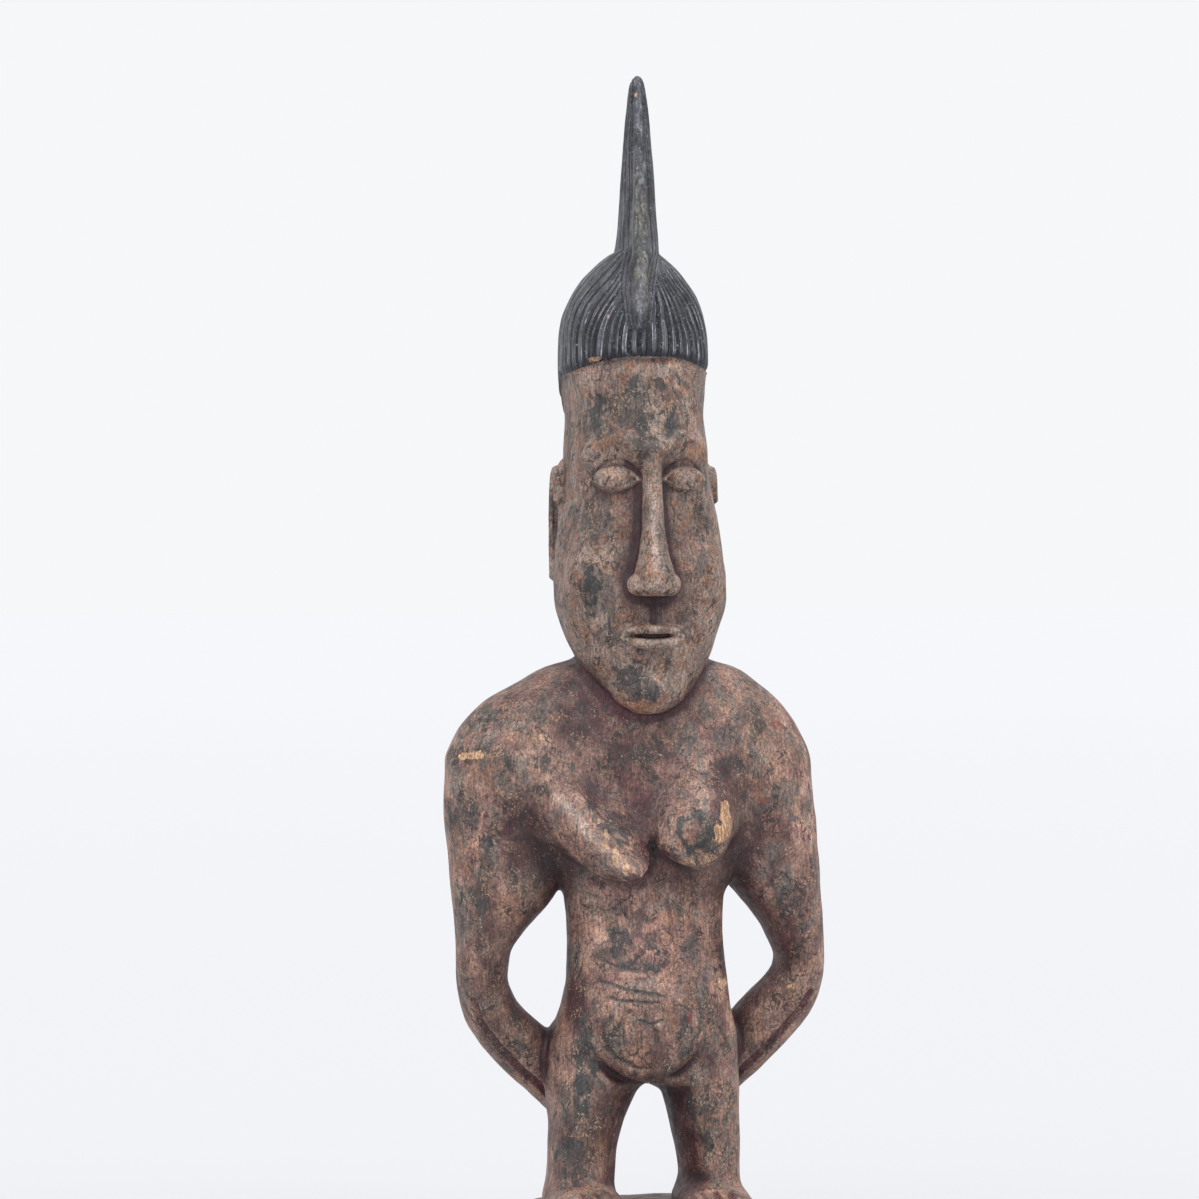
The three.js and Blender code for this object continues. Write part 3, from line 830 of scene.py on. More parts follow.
def from_front(angle):
    return np.abs(np.mod(angle - np.pi / 2, 2 * np.pi) - np.pi)


def strand_count(places):
    """The place across the strands: a whole number between two strands, from 0 in front."""
    z = places[:, 2] / U
    _, angle, on_crest = hair_places(places)
    wave = layered(places, STRAND_WAVE) * ~on_crest
    turn = from_front(angle + wave)
    fan = np.exp(-(turn / STRAND_FAN_WIDTH) ** 2) * smooth(HAIRLINE_FRONT + 10, CREST_FOOT, z) * ~on_crest
    turn = np.minimum(turn * (1 + STRAND_FAN * fan), np.pi)
    left = places[:, 0] / U > ridge_at(z)[:, 1]
    numbers = np.arange(STRANDS + 1)
    return np.where(left, *(np.interp(turn, strand_edges(side), numbers) for side in (1, 0)))


def lock_share(over, angle):
    """How much a place belongs to the broad locks over the forehead."""
    up = smooth(LOCK_TOP, LOCK_TOP / 2, over)
    return up * smooth(LOCK_TURN, LOCK_TURN * 0.7, from_front(angle))


def hair_relief(places):
    """How deep the hair is cut in millimetres, and how much of a place lies on the ridge."""
    x, y, z = (places / U).T
    over, angle, on_crest = hair_places(places)
    lock = lock_share(over, angle)
    count = strand_count(places)
    across = 2 * np.mod(count, 1) - 1
    number = np.clip(count.astype(int), 0, STRANDS - 1) + STRANDS * (x > 0)
    depths = np.random.default_rng(12).uniform(*STRAND_DEPTHS, 2 * STRANDS)[number]
    shape = 4 + 2 * noise(places, 9, 23) - 2 * lock
    deep = (STRAND_DEPTH + (LOCK_DEPTH - STRAND_DEPTH) * lock) * depths
    end = smooth(0, STRAND_END, over - STRAND_LOBE * across ** 2)
    cut_in = deep * np.abs(across) ** shape
    cut_in = STRAND_DEPTH + (cut_in - STRAND_DEPTH) * end
    crest_cut = CREST_LINE_DEPTH * np.abs(np.mod(count, 2) - 1) ** 4
    cut_in = np.where(on_crest, crest_cut, cut_in)
    middle, width, _ = columns(ridge_at(z))
    front = smooth(-0.2, -0.6, np.sin(angle)) * smooth(RIDGE[0][0], RIDGE[1][0], z)
    ridge = smooth(width + 0.8, width - 0.8, np.abs(x - middle)) * front
    in_hair = over > 0
    return in_hair * cut_in * (1 - ridge), in_hair * ridge


def near_path(places, path, reach):
    """The distance of places to a path, no further than its reach, and which end is nearer."""
    path = np.array(path, float)
    gap = np.full(len(places), float(reach))
    share = np.zeros(len(places))
    low, high = path.min(0) - reach, path.max(0) + reach
    close = np.nonzero(np.all((places > low) & (places < high), axis=1))[0]
    for i, (start, end) in enumerate(zip(path[:-1], path[1:])):
        way = end - start
        part = np.clip((places[close] - start) @ way / (way @ way), 0, 1)
        here = np.linalg.norm(places[close] - start - part[:, None] * way, axis=1)
        nearer = here < gap[close]
        gap[close] = np.where(nearer, here, gap[close])
        share[close] = np.where(nearer, (i + part) / (len(path) - 1), share[close])
    return gap, share


def curve(points):
    """A smooth curve through a few points."""
    return through_stations(points)(np.linspace(0, len(points) - 1, LINE_POINTS))[:, 1:]


# Ears, hands and back: heights and depths in millimetres, places in thousandths.
EAR_RIM_TURN = (-0.35 * np.pi, 1.2 * np.pi)
EAR_RIM_HEIGHT = 1.1
EAR_RIM_SIZE = (0.78, 0.82)  # of the ear's half depth and half height
EAR_HOLLOW_DEPTH = 0.8
EAR_HOLLOW_SIZE = (0.6, 0.7)  # the same
FINGER_STATIONS = (10.1, 12)
FINGER_GAPS = (-0.5, 0.0, 0.5)
FINGER_LINE_DEPTH = 0.45
SPINE_X = 1
SPINE_DEPTH = 0.3
SPINE_HALF_WIDTH = 5
SPINE_FOOT = (180, 230)
SPINE_TOP = (480, 430)

# Cut lines on the front, as places across and up the figure in millimetres, seen from the
# side that the camera stands on: (width, depth, points).
VIEW_TURN = math.radians(9.5)  # how far round to her right the camera stands
VIEW_SIN, VIEW_COS = math.sin(VIEW_TURN), math.cos(VIEW_TURN)
WAVER = 0.55  # how far a line cut by hand strays
WAVER_LENGTH = 2.6  # over about this much of its way
FRONT_LINES = [
    (1.0, 0.4, [(-11.9, 80.2), (-6.3, 78.2), (0.4, 76.5)]),
    (1.1, 0.4, [(-15.2, 77.0), (-6.3, 73.3), (1.6, 71.3), (6, 70.6)]),
    (1.1, 0.5, [(-11.2, 71.1), (-3.8, 69.6), (3.6, 69.4)]),
    (1.0, 0.45, [(-3.0, 65.2), (1.1, 64.4), (5.0, 64.9)]),
    (0.8, 0.2, [(6.8, 68.9), (9, 68.3), (12.5, 66.4)]),
    (1.4, 0.5, [(-11.6, 64.5), (-10.5, 62), (-9.2, 58.3), (-6.2, 55.3), (-2.2, 53.2), (2, 52.6)]),
    (1.0, 0.35, [(7.0, 58.5), (9.4, 62), (11.6, 66.6)]),
    (0.8, 0.3, [(13.2, 71), (13.4, 64), (11.4, 58.6), (8.2, 54.6)]),
    (0.6, 0.25, [(-5.4, 62.6), (-5.6, 60.4), (-5.4, 58)]),
    (0.6, 0.2, [(-1.2, 62.2), (-1.3, 60.6), (-1.1, 59.2)]),
    (0.6, 0.25, [(2.5, 62.2), (2.4, 60.6), (2.6, 59.2)]),
    (0.5, 0.3, [(-4.8, 95), (-4.5, 91), (-4.4, 88.2)]),
    (1.4, 0.5, [(1.4, 111), (1.9, 106.6), (2.0, 103)]),
]
# Raised edges on the front: (width, height, points).
FRONT_RIDGES = [
    (1.8, 0.5, [(-16.5, 64), (-13.5, 59.5), (-10.7, 56.2), (-6.6, 53.6), (-1.8, 51.6), (1.4, 51)]),
    (1.8, 0.4, [(1.4, 51), (7, 53), (10, 56.6), (12.6, 60.5), (14.7, 67.6)]),
    (2.2, 0.9, [(-23.4, 122.5), (-17.7, 115.6), (-11.7, 108.4), (-8, 105), (-4, 101.6)]),
    (2.6, 0.5, [(8.5, 105.5), (12, 103.6), (16, 105), (19.2, 110), (20.4, 117)]),
]

# Lines of the face, in thousandths across and up from its middle, each with its height in
# millimetres and the half widths of its foot and its flat top. Those of the mouth give one half.
BROW_LINE = [(9, -2), (26, 8), (42, 5), (54, -8)]
MOUTH_LINES = [
    (0.5, 1.7, 0.5, [(25, -1), (13, 5), (0, 5)]),
    (0.65, 1.7, 0.5, [(24, -2), (12, -7), (0, -9)]),
    (-0.6, 0.7, 0.1, [(24, -1.5), (12, 0), (0, -0.6)]),
]
PHILTRUM = (-0.35, 1.3, 0.2, [(0, NOSE_BASE - 6), (0, MOUTH + 12)])
# The upper lid, the lower one and the fold: the same, then how much longer than half the eye,
# and how high as a share of the eye.
LIDS = ((0.5, 0.75, 0.2, 0, 0.82), (0.35, 0.75, 0.2, 0, -0.7), (-0.3, 0.6, 0.1, 3, 1.45))


def eyelids(side):
    """The lines of one eye's lids."""
    x, _, _, half_width, _, half_height = EYE
    t = np.linspace(-1, 1, 15)
    for *stroke, longer, rise in LIDS:
        across = side * x + t * (half_width + longer)
        yield *stroke, np.stack([across, EYE_LEVEL + (1 - t * t) * (half_height * rise)], axis=1)


def face_relief(places, normals):
    """Lids, brows, lips and the groove over them."""
    flat = np.stack([places[:, 0] - FACE_X * U, places[:, 2]], axis=1)
    strokes = []
    for side in (-1, 1):
        strokes += eyelids(side)
        strokes.append((1.0, 2.4, 0.4, curve([(side * x, BROW + z) for x, z in BROW_LINE])))
    for *stroke, half in MOUTH_LINES:
        line = [(-x, z) for x, z in half] + half[-2::-1]
        strokes.append((*stroke, curve([(x, MOUTH + z) for x, z in line])))
    result = np.zeros(len(places))
    for height, wide, narrow, line in [*strokes, PHILTRUM]:
        gap, _ = near_path(flat, np.array(line) * U, wide)
        result += height * smooth(wide, narrow, gap)
    return result * smooth(0.2, 0.5, -normals[:, 1])


def ear_relief(places, normals):
    """The raised rim of an ear, which is open in front, and the hollow inside it."""
    _, y, z, _, half_depth, half_height = EAR
    turn = np.linspace(*EAR_RIM_TURN, LINE_POINTS + 1)
    back = y + np.sin(turn) * half_depth * EAR_RIM_SIZE[0]
    up = z + np.cos(turn) * half_height * EAR_RIM_SIZE[1]
    flat = places[:, 1:]
    gap, _ = near_path(flat, np.stack([back, up], axis=1) * U, 2)
    deep, high = EAR_HOLLOW_SIZE
    inside = off_middle(flat / U, y, z, half_depth * deep, half_height * high)
    result = EAR_RIM_HEIGHT * smooth(1.5, 0.4, gap) - EAR_HOLLOW_DEPTH * smooth(1, 0.6, inside)
    return result * smooth(0.1, 0.4, np.abs(normals[:, 0]))


def hand_relief(places):
    """Lines between the fingers, on the back of each hand, that lies against the hip."""
    result = np.zeros(len(places))
    for stations in ARMS:
        row = through_stations(stations)(np.linspace(*FINGER_STATIONS, 12))
        for across in FINGER_GAPS:
            line = np.stack(on_arm(row, across, math.sqrt(1 - across ** 2)), axis=1) * U
            gap, _ = near_path(places, line, 1)
            result -= FINGER_LINE_DEPTH * smooth(0.7, 0.1, gap)
    return result


def spine_relief(places, normals):
    """The shallow line down the back."""
    height = places[:, 2] / U
    behind = smooth(0.2, 0.7, normals[:, 1])
    run = smooth(*SPINE_FOOT, height) * smooth(*SPINE_TOP, height)
    off = np.abs(places[:, 0] - SPINE_X * U)
    return -SPINE_DEPTH * behind * run * smooth(SPINE_HALF_WIDTH, 0.2, off)


def off_middle(flat, across, up, half_width, half_height):
    """How far places are from the middle of an oval whose edge is at 1."""
    return np.hypot((flat[:, 0] - across) / half_width, (flat[:, 1] - up) / half_height)


def facing_camera(normals):
    """How squarely the skin faces the side that the camera stands on."""
    return -(normals[:, 0] * VIEW_SIN + normals[:, 1] * VIEW_COS)


def seen_in_front(places):
    """Across and up in the frame's millimetres, for one who stands where the camera does."""
    x, y, z = (places + SHIFT).T
    return np.stack([x * VIEW_COS - y * VIEW_SIN, z], axis=1)


def wavering(places):
    """The same for a line that is cut by hand."""
    off = np.stack([noise(places, WAVER_LENGTH, seed) for seed in (51, 52)], axis=1)
    return seen_in_front(places) + WAVER * off


def lines_near(flat, lines, ends):
    """Each line's width and number, how far places are from it, and how it fades at its ends.

    The ends are shares of its length: where it is full, where it starts to fade, where it is gone."""
    full, fading, gone = ends
    for width, number, points in lines:
        gap, share = near_path(flat, curve(points), width)
        yield width, number, gap, smooth(0, full, share) * smooth(gone, fading, share)


def skin_relief(places, normals):
    """All the carving on the skin, in millimetres outwards."""
    front = smooth(0.15, 0.45, facing_camera(normals))
    flat = wavering(places)
    result = face_relief(places, normals) - hair_relief(places)[0]
    for width, depth, gap, fade in lines_near(flat, FRONT_LINES, (0.2, 0.8, 1)):
        result -= depth * front * fade * smooth(width * 0.55, 0, gap)
    for width, height, gap, fade in lines_near(flat, FRONT_RIDGES, (0.25, 0.85, 1.05)):
        result += height * front * fade * smooth(width * 0.9, 0.2, gap)
    for form in (hand_relief(places), spine_relief(places, normals), ear_relief(places, normals)):
        result += form
    return result


def normals_of(points, faces):
    """The way out at each point of a mesh."""
    across = points[faces[:, 2]] - points[faces[:, 0]]
    along = points[faces[:, -1]] - points[faces[:, 1]]
    flat = np.cross(across, along)
    result = np.zeros_like(points)
    for corner in range(faces.shape[1]):
        for k in range(3):
            result[:, k] += np.bincount(faces[:, corner], flat[:, k], len(points))
    return result / np.maximum(np.linalg.norm(result, axis=1), 1e-12)[:, None]


def field_mesh():
    """The skin of the field: its points in millimetres and its quads."""
    grid = vdb.FloatGrid()
    grid.background = FAR
    grid.copyFromArray(field, ijk=tuple(int(n) for n in GRID_LOW))
    grid.transform = GRID_TRANSFORM
    skin, quads = grid.convertToQuads(isovalue=0.0)
    return skin.astype(float), quads.astype(np.int64)


def add_object(name, data):
    made = bpy.data.objects.new(name, data)
    bpy.context.scene.collection.objects.link(made)
    return made


def to_mesh(name, points, faces):
    """A Blender mesh in metres from points in the carving's own millimetres."""
    mesh = bpy.data.meshes.new(name)
    mesh.vertices.add(len(points))
    mesh.vertices.foreach_set("co", ((points + SHIFT) * MM).astype(np.float32).ravel())
    sides = faces.shape[1]
    mesh.loops.add(faces.size)
    mesh.loops.foreach_set("vertex_index", faces.astype(np.int32).ravel())
    mesh.polygons.add(len(faces))
    mesh.polygons.foreach_set("loop_start", np.arange(0, faces.size, sides, dtype=np.int32))
    mesh.update(calc_edges=True)
    mesh.validate()
    return mesh


def carved_mesh():
    """The skin moved out and in by the carving on it: its points in millimetres and quads."""
    skin, quads = field_mesh()
    normals = normals_of(skin, quads)
    if np.mean(sample(field, skin + normals * VOXEL) > 0) < 0.5:
        normals = -normals
    over = hair_places(skin)[0]
    rough = layered(skin, KNIFE_MARKS) * np.where(over > 0, KNIFE_MARKS_IN_HAIR, 1)
    rough = rough * (skin[:, 2] > 1 - BASE_THICKNESS)
    return skin + normals * (skin_relief(skin, normals) + rough)[:, None], quads


def add_figure():
    """The figure as one object with as many triangles as it may have."""
    points, quads = carved_mesh()
    raw = add_object("raw", to_mesh("raw", points, quads))
    thin = raw.modifiers.new("thin", "DECIMATE")
    thin.ratio = min(1, MOST_TRIANGLES / (2 * len(quads)))
    ready = raw.evaluated_get(bpy.context.evaluated_depsgraph_get())
    mesh = bpy.data.meshes.new_from_object(ready)
    bpy.data.objects.remove(raw)
    mesh.shade_smooth()
    return add_object("carved_figure", mesh)


figure = add_figure()

# Where the wood is worn, dark, bare or dirty, and where shade and highlights are painted on it, as values
# at the points of the mesh

WOOD_STEP = round(1.6 / VOXEL)  # cells of 1.6 millimetres
WOOD_NEAR, WOOD_FAR = 1, 4  # how many cells each way count for a near hollow and for a wide one, painted burgundy as camwood red and as shade
# Spots as seen from the camera's side: across and up in millimetres, half width, half height.
DARK_SPOTS = [
    (-48.1, 130, 1.5, 3),
    (-24.7, 130.7, 2, 3.6), (-18.3, 127.5, 1.6, 2), (-13.2, 120.4, 1.6, 3), (-10.2, 128, 1.4, 2.6),
    (-8.6, 114.5, 2.6, 3.4), (-6, 110, 1.8, 2.2), (1.6, 135.1, 2.2, 2.2), (10.2, 133.5, 3.4, 1.8),
    (30.7, 126.2, 0.9, 2.6), (28.7, 117.9, 1.2, 1.6), (-39.3, 108.8, 2, 2.6), (22, 128.5, 3.4, 2),
    (-4.4, 101, 1.2, 0.9), (-4.8, 91.4, 1, 2), (1.6, 85.6, 2.2, 3), (-4.6, 84.6, 1.4, 2.6),
    (-8.2, 85.8, 1.2, 2.4), (-14.9, 61.7, 1.8, 5), (-11.9, 53.4, 2, 1.6), (-15.6, 45, 2.6, 5),
    (14.7, 34.6, 2, 2.4), (10.2, 45.7, 1.8, 3.6), (-21.5, 32.2, 1.6, 2.6), (4.3, 54.6, 1.6, 1.6),
    (-3.3, 221.6, 2.6, 2.6), (-12.2, 217.6, 3, 2.6), (-0.1, 212, 2.6, 3),
    (2.9, 221.6, 1.8, 2.2), (-3.6, 150.5, 4.2, 2.4), (-26, 122, 2, 2),
]
# The same for marks that are fainter
DIM_SPOTS = [
    (-38.3, 140.3, 4, 2.6), (-38, 131, 6, 3), (-44.5, 116, 3.5, 7), (-41.2, 95, 3.4, 6), (-33, 99, 2, 4),
    (34, 96, 3, 6), (-1.6, 89, 3, 5), (-5, 84, 3, 5), (-5, 216, 5, 7), (-13, 213, 4, 5), (-1, 207, 4, 5),
    (-12, 190, 4, 8), (14, 190, 3, 7), (-14, 172, 3, 7), (-9, 160, 4, 3), (11, 163, 3, 5), (-1, 147, 7, 3),
    (8, 212, 3, 6), (3, 131, 8, 2), (-13, 122, 2, 7), (-9, 62, 3, 6), (10, 60, 3, 6), (0, 78, 10, 1.5),
    (-20, 80, 2, 7), (20, 80, 2, 7), (-15, 53, 3, 9), (14, 40, 4, 8), (-18, 30, 3, 7),
]
DARK_RINGS = [(12, 111.6, 5, 5.4, 0.55), (-5.2, 115.4, 3, 4.4, 0.5)]
BARE_SPOTS = [
    (19.7, 116, 0.6, 4.6), (20.6, 114.4, 0.8, 3.6), (18.7, 116.6, 0.4, 2.6), (19.4, 112.6, 1.7, 2.4),
    (18.2, 110.4, 1.3, 1.4), (17.5, 112.8, 0.5, 1.6), (-43.4, 130.4, 3, 0.9),
    (41.5, 106.3, 0.5, 1.6), (30.4, 124.3, 0.5, 1.3), (-2.2, 295, 0.5, 0.9), (-12.2, 228.4, 1.8, 0.5),
    (-9.5, 238.8, 0.6, 0.6), (36.3, 72.2, 1.2, 0.6),
]
TAN_SPOTS = [
    (-7.4, 106, 1.2, 2.6), (-5, 102.8, 1.1, 1.5), (-10, 109.5, 1.4, 2.4), (10.8, 104.3, 2, 0.8),
    (15, 105.3, 2.4, 0.9), (-16.6, 235.1, 0.8, 1.2), (-25.4, 135.4, 1.2, 0.8),
    (19.5, 73, 2.4, 1.4), (-14, 234, 2, 0.8), (-6, 233.4, 1.6, 0.7),
]
RED_SPOTS = [(32.7, 137.8, 1.3, 1), (-11.2, 62.7, 0.6, 1.3), (11, 65.4, 0.6, 1.3), (29.5, 119, 1.1, 0.8)]
# Burgundy stains; the long flat one at (0, 100) is a painted shadow under the breasts
STAIN_AND_SHADOW_SPOTS = [
    (-17, 142, 9, 8), (-6, 131, 3, 10), (0.5, 112, 3, 12), (20, 122, 5, 8), (32, 110, 5, 12),
    (-30, 110, 8, 10), (-22, 102, 5, 7), (-40, 88, 4, 10), (24, 102, 4, 8), (37, 90, 4, 10),
    (0, 100, 12, 2.5), (-17, 70, 3, 8), (-9, 42, 5, 7), (8, 40, 4, 8), (-16, 36, 6, 6),
    (16, 54, 4, 8), (-36, 74, 4, 5),
]
# Broad areas that are lighter or darker: the same, and how much lighter.
LIGHT_AREAS = [
    (-1, 88, 12, 13, 0.95), (-2, 124, 12, 8, 0.3), (-15, 113, 8, 6, 0.2), (10, 116, 8, 6, 0.2),
    (0, 120, 6, 6, 0.15), (36, 108, 6, 15, 0.25), (-3, 142, 11, 5, 0.65), (-31, 139, 6, 5, -0.1),
    (2, 66, 9, 9, 0.12), (-12, 225, 5, 4, 0.25), (6, 222, 5, 6, 0.25), (39, 125, 3, 12, 0.15),
    (-14, 42, 9, 12, -0.12), (15, 42, 9, 12, -0.08), (-33, 65, 8, 12, -0.2), (31, 68, 8, 10, -0.12),
    (0, 57, 9, 5, -0.12), (-23.5, 103.5, 3, 5, -0.5), (23, 103.5, 3, 5, -0.45),
]
# Pale crests, partly dust and partly painted highlight: (width, share, points).
PALE_LINES = [
    (2.6, 0.75, [(-24, 123), (-19, 117.5), (-11.7, 108.4), (-6, 103.4)]),
    (1.6, 0.7, [(6, 111), (7.6, 107), (10.4, 104.4)]),
    (1.2, 0.8, [(1.7, 196), (1.9, 186), (2.3, 176)]),
]
GAP_MIDDLE = 6  # the middle of the gap between the legs, thousandths to her left
# Where the ridge of the crest is worn to olive: from none to all, in thousandths.
OLIVE_FOOT = (770, 815)
OLIVE_TOP = (925, 875)


def wood_around(reach):
    """The share of wood round each place of a coarse grid, for that many cells each way."""
    step = WOOD_STEP
    room = [(0, -n % step) for n in field.shape]
    solid = np.pad(np.clip(0.5 - field / VOXEL, 0, 1), room)
    x, y, z = (n // step for n in solid.shape)
    share = solid.reshape(x, step, y, step, z, step).mean(axis=(1, 3, 5))
    share = np.pad(share, 2 * reach)
    for axis in (0, 1, 2, 0, 1, 2):
        share = sum(np.roll(share, k, axis) for k in range(-reach, reach + 1)) / (2 * reach + 1)
    inner = slice(2 * reach, -2 * reach)
    return share[inner, inner, inner]


def sharpness(points, normals, edges):
    """How sharply the skin bends outwards at each point, per millimetre, a little smoothed."""
    a, b = edges.T
    count = np.maximum(np.bincount(np.concatenate([a, b]), minlength=len(points)), 1)

    def over_neighbours(values):
        both = np.bincount(a, values[b], len(points)) + np.bincount(b, values[a], len(points))
        return both / count

    middle = np.stack([over_neighbours(points[:, k]) for k in range(3)], axis=1)
    length = np.linalg.norm(points[a] - points[b], axis=1)
    spread = (np.bincount(a, length ** 2, len(points)) + np.bincount(b, length ** 2, len(points))) / count
    bend = 2 * np.einsum("ij,ij->i", points - middle, normals) / np.maximum(spread, 0.01)
    for _ in range(2):
        bend = (bend + over_neighbours(bend)) / 2
    return bend


def spots(flat, ragged, shapes):
    """How much of each point lies in any of the spots."""
    result = np.zeros(len(flat))
    for shape in shapes:
        result = np.maximum(result, smooth(1.35, 0.6, off_middle(flat, *shape) + ragged))
    return result


def rings(flat, ragged, shapes):
    """The same for rings, which also have the size of their hole as a share."""
    result = np.zeros(len(flat))
    for *shape, hole in shapes:
        far = off_middle(flat, *shape) + ragged / 2
        result = np.maximum(result, smooth(1.15, 0.85, far) * smooth(hole - 0.2, hole + 0.1, far))
    return result


def lighter(flat, shapes):
    """How many times as light each point is as it would be without the broad areas."""
    result = np.ones(len(flat))
    for *shape, amount in shapes:
        result += amount * np.exp(-off_middle(flat, *shape) ** 2)
    return result


def read(data, key, width, kind=np.float32):
    values = np.empty(len(data) * width, kind)
    data.foreach_get(key, values)
    return values.reshape(-1, width)


def line_wear_and_shade(points, flat, front, ragged):
    """Where the skin is dark along cut lines and in the forearms' grooves, partly dark marks and partly
    painted shade, and pale on crests, partly dust and partly painted highlight.
    """
    lines, pale, trench = np.zeros((3, len(points)))
    # Cut lines: partly dark marks, partly painted shade
    for width, _, gap, fade in lines_near(wavering(points), FRONT_LINES, (0.15, 0.85, 1)):
        lines = np.maximum(lines, front * fade * smooth(width * 0.8, width * 0.2, gap))
    for width, share, gap, fade in lines_near(flat, PALE_LINES, (0.2, 0.9, 1.1)):
        pale = np.maximum(pale, share * front * fade * smooth(width, 0, gap + 0.5 * ragged))
    half = FOREARM_GROOVE_WIDTH / 2
    # The forearms' grooves: partly burgundy, partly painted shade
    for path in groove_paths():
        gap, _ = near_path(points, path, 2 * half)
        trench = np.maximum(trench, smooth(half + 0.35, half - 0.05, gap))
    return {"line": lines, "pale": pale, "trench": trench}


def hair_wear_and_shade(points, height):
    """What the material has to know about the hair and its strands."""
    over, angle, on_crest = hair_places(points)
    _, ridge = hair_relief(points)
    return over, {
        "hair": smooth(-1, 1.5, over),
        "count": strand_count(points),
        "crest": on_crest,
        "lock": lock_share(over, angle) * ~on_crest,
        # The strands' ends along the hairline are darkened: painted shadow
        "ends": smooth(10, 2, over) * (over > 0),
        "ridge": ridge,
        "olive": ridge * smooth(*OLIVE_FOOT, height) * smooth(*OLIVE_TOP, height),
    }


# Marks of wear, dirt and stains, and painted shade and highlights, put on the mesh's points
def add_wear_and_shade(mesh):
    points = read(mesh.vertices, "co", 3) / MM - SHIFT
    normals = read(mesh.vertices, "normal", 3)
    bend = sharpness(points, normals, read(mesh.edges, "vertices", 2, np.int32))
    near, far = (sample(wood_around(reach), points, WOOD_STEP) for reach in (WOOD_NEAR, WOOD_FAR))
    front = smooth(0.05, 0.3, facing_camera(normals))
    flat = seen_in_front(points)
    ragged = layered(points, RAGGED_EDGE)
    across, _, height = (points / U).T
    over, of_hair = hair_wear_and_shade(points, height)
    inwards = -normals[:, 0] * np.sign(across - GAP_MIDDLE)
    sideways = smooth(0.85, 0.45, np.abs(normals[:, 1]))
    below_chin = smooth(CHIN, CHIN - 20, height)
    head_left, head_right, *_ = columns(through_rows(HEAD)(height))
    off_head = np.maximum(head_left - across, across - head_right)
    dark = np.maximum(spots(flat, ragged, DARK_SPOTS), rings(flat, ragged, DARK_RINGS))
    values = {
        **of_hair,
        **line_wear_and_shade(points, flat, front, ragged),
        # Burgundy in hollows, near and wide: partly the camwood red that collects there, partly painted
        # shade
        "hollow_red_and_shade": smooth(0.52, 0.68, near),
        "wide_hollow_red_and_shade": smooth(0.4, 0.62, far),
        # Sharp outward edges are pale: partly wear, partly painted highlight
        "edge": smooth(0.3, 1.2, bend) * smooth(2, 5, np.abs(over)),
        # Darker where the skin bends inwards: painted shade in creases
        "crease": smooth(-0.25, -1.0, bend),
        "face": (1 - below_chin) * smooth(16, 8, off_head),
        # Sides that face the middle, such as inner arms and thighs: partly burgundy staining, partly
        # painted shade
        "inner": smooth(0.1, 0.65, inwards + 0.2 * ragged) * below_chin * sideways,
        "light": lighter(flat, LIGHT_AREAS),
        "dark": dark * front,
        "dim": spots(flat, ragged, DIM_SPOTS) * front,
        "bare": spots(flat, ragged, BARE_SPOTS) * front,
        "tan": spots(flat, ragged, TAN_SPOTS) * front,
        "red": spots(flat, ragged, RED_SPOTS) * front,
        # stains, with a painted shadow under the breasts
        "stain_and_shadow": spots(flat, ragged / 2, STAIN_AND_SHADOW_SPOTS) * front,
    }
    for name, value in values.items():
        mesh.attributes.new(name, "FLOAT", "POINT").data.foreach_set("value", value.astype(np.float32))


add_wear_and_shade(figure.data)

# The wood. Colours are linear.

BROWN = (0.167, 0.098, 0.077)
PINK = (0.268, 0.167, 0.134)
GREY_GREEN = (0.13, 0.113, 0.1)
MAUVE = (0.133, 0.069, 0.064)
ORANGE = (0.27, 0.143, 0.092)
SALLOW = (0.21, 0.165, 0.142)
RUST = (0.2, 0.098, 0.056)
# Dark grey of smudges, and of cut lines where it is also painted shade
SMUDGE_AND_SHADE = (0.037, 0.036, 0.036)
BURGUNDY = (0.036, 0.012, 0.015)
# Dark burgundy on sides that face the middle: partly staining, partly painted shade
INWARD_RED_AND_SHADE = (0.07, 0.021, 0.027)
# Pale on crests: partly dust, partly painted highlight
DUST_AND_HIGHLIGHT = (0.37, 0.29, 0.255)
# Dark burgundy of the forearms' grooves: partly paint, partly painted shade
TRENCH = (0.085, 0.03, 0.037)
TAN = (0.38, 0.25, 0.16)
PALE = (0.46, 0.37, 0.32)
BARE_WOOD = (0.46, 0.29, 0.17)
BARE_GRAIN = (0.26, 0.14, 0.08)
OLD_RED = (0.15, 0.035, 0.028)
PIT = (0.02, 0.015, 0.015)
HAIR_DARK = (0.027, 0.029, 0.036)
HAIR_GREY = (0.078, 0.081, 0.096)
HAIR_BLACK = (0.006, 0.007, 0.012)
HAIR_OLIVE = (0.088, 0.084, 0.067)
# Pale grey of the hair's rims, edges and specks: partly wear, partly painted highlight
HAIR_WEAR_AND_HIGHLIGHT = (0.27, 0.275, 0.3)
# Shades that a colour is multiplied by, from a dark one to a light one
UNEVEN = ((0.81, 0.8, 0.81), (1.2, 1.19, 1.17))
SPECKLE = ((0.64, 0.63, 0.64), (1.4, 1.38, 1.35))
STREAK = ((0.82, 0.81, 0.81), (1.18, 1.17, 1.15))
TONE = ((0.8, 0.78, 0.78), (1.26, 1.27, 1.26))
LINED = ((0.66, 0.66, 0.68), (1.38, 1.38, 1.38))
DRAWN = ((0.4, 0.4, 0.42), (1.6, 1.6, 1.62))
FINE_HAIRS = 31.4  # five waves across each strand, in radians
BUMP_HEIGHT = 0.4 * MM
BUMP_STRENGTH = 0.6


def put(socket, value):
    """Gives a node's input a value or another node's output."""
    if isinstance(value, bpy.types.NodeSocket):
        socket.id_data.links.new(value, socket)
    elif isinstance(value, tuple) and socket.type == "RGBA":
        socket.default_value = (*value, 1)
    else:
        socket.default_value = value


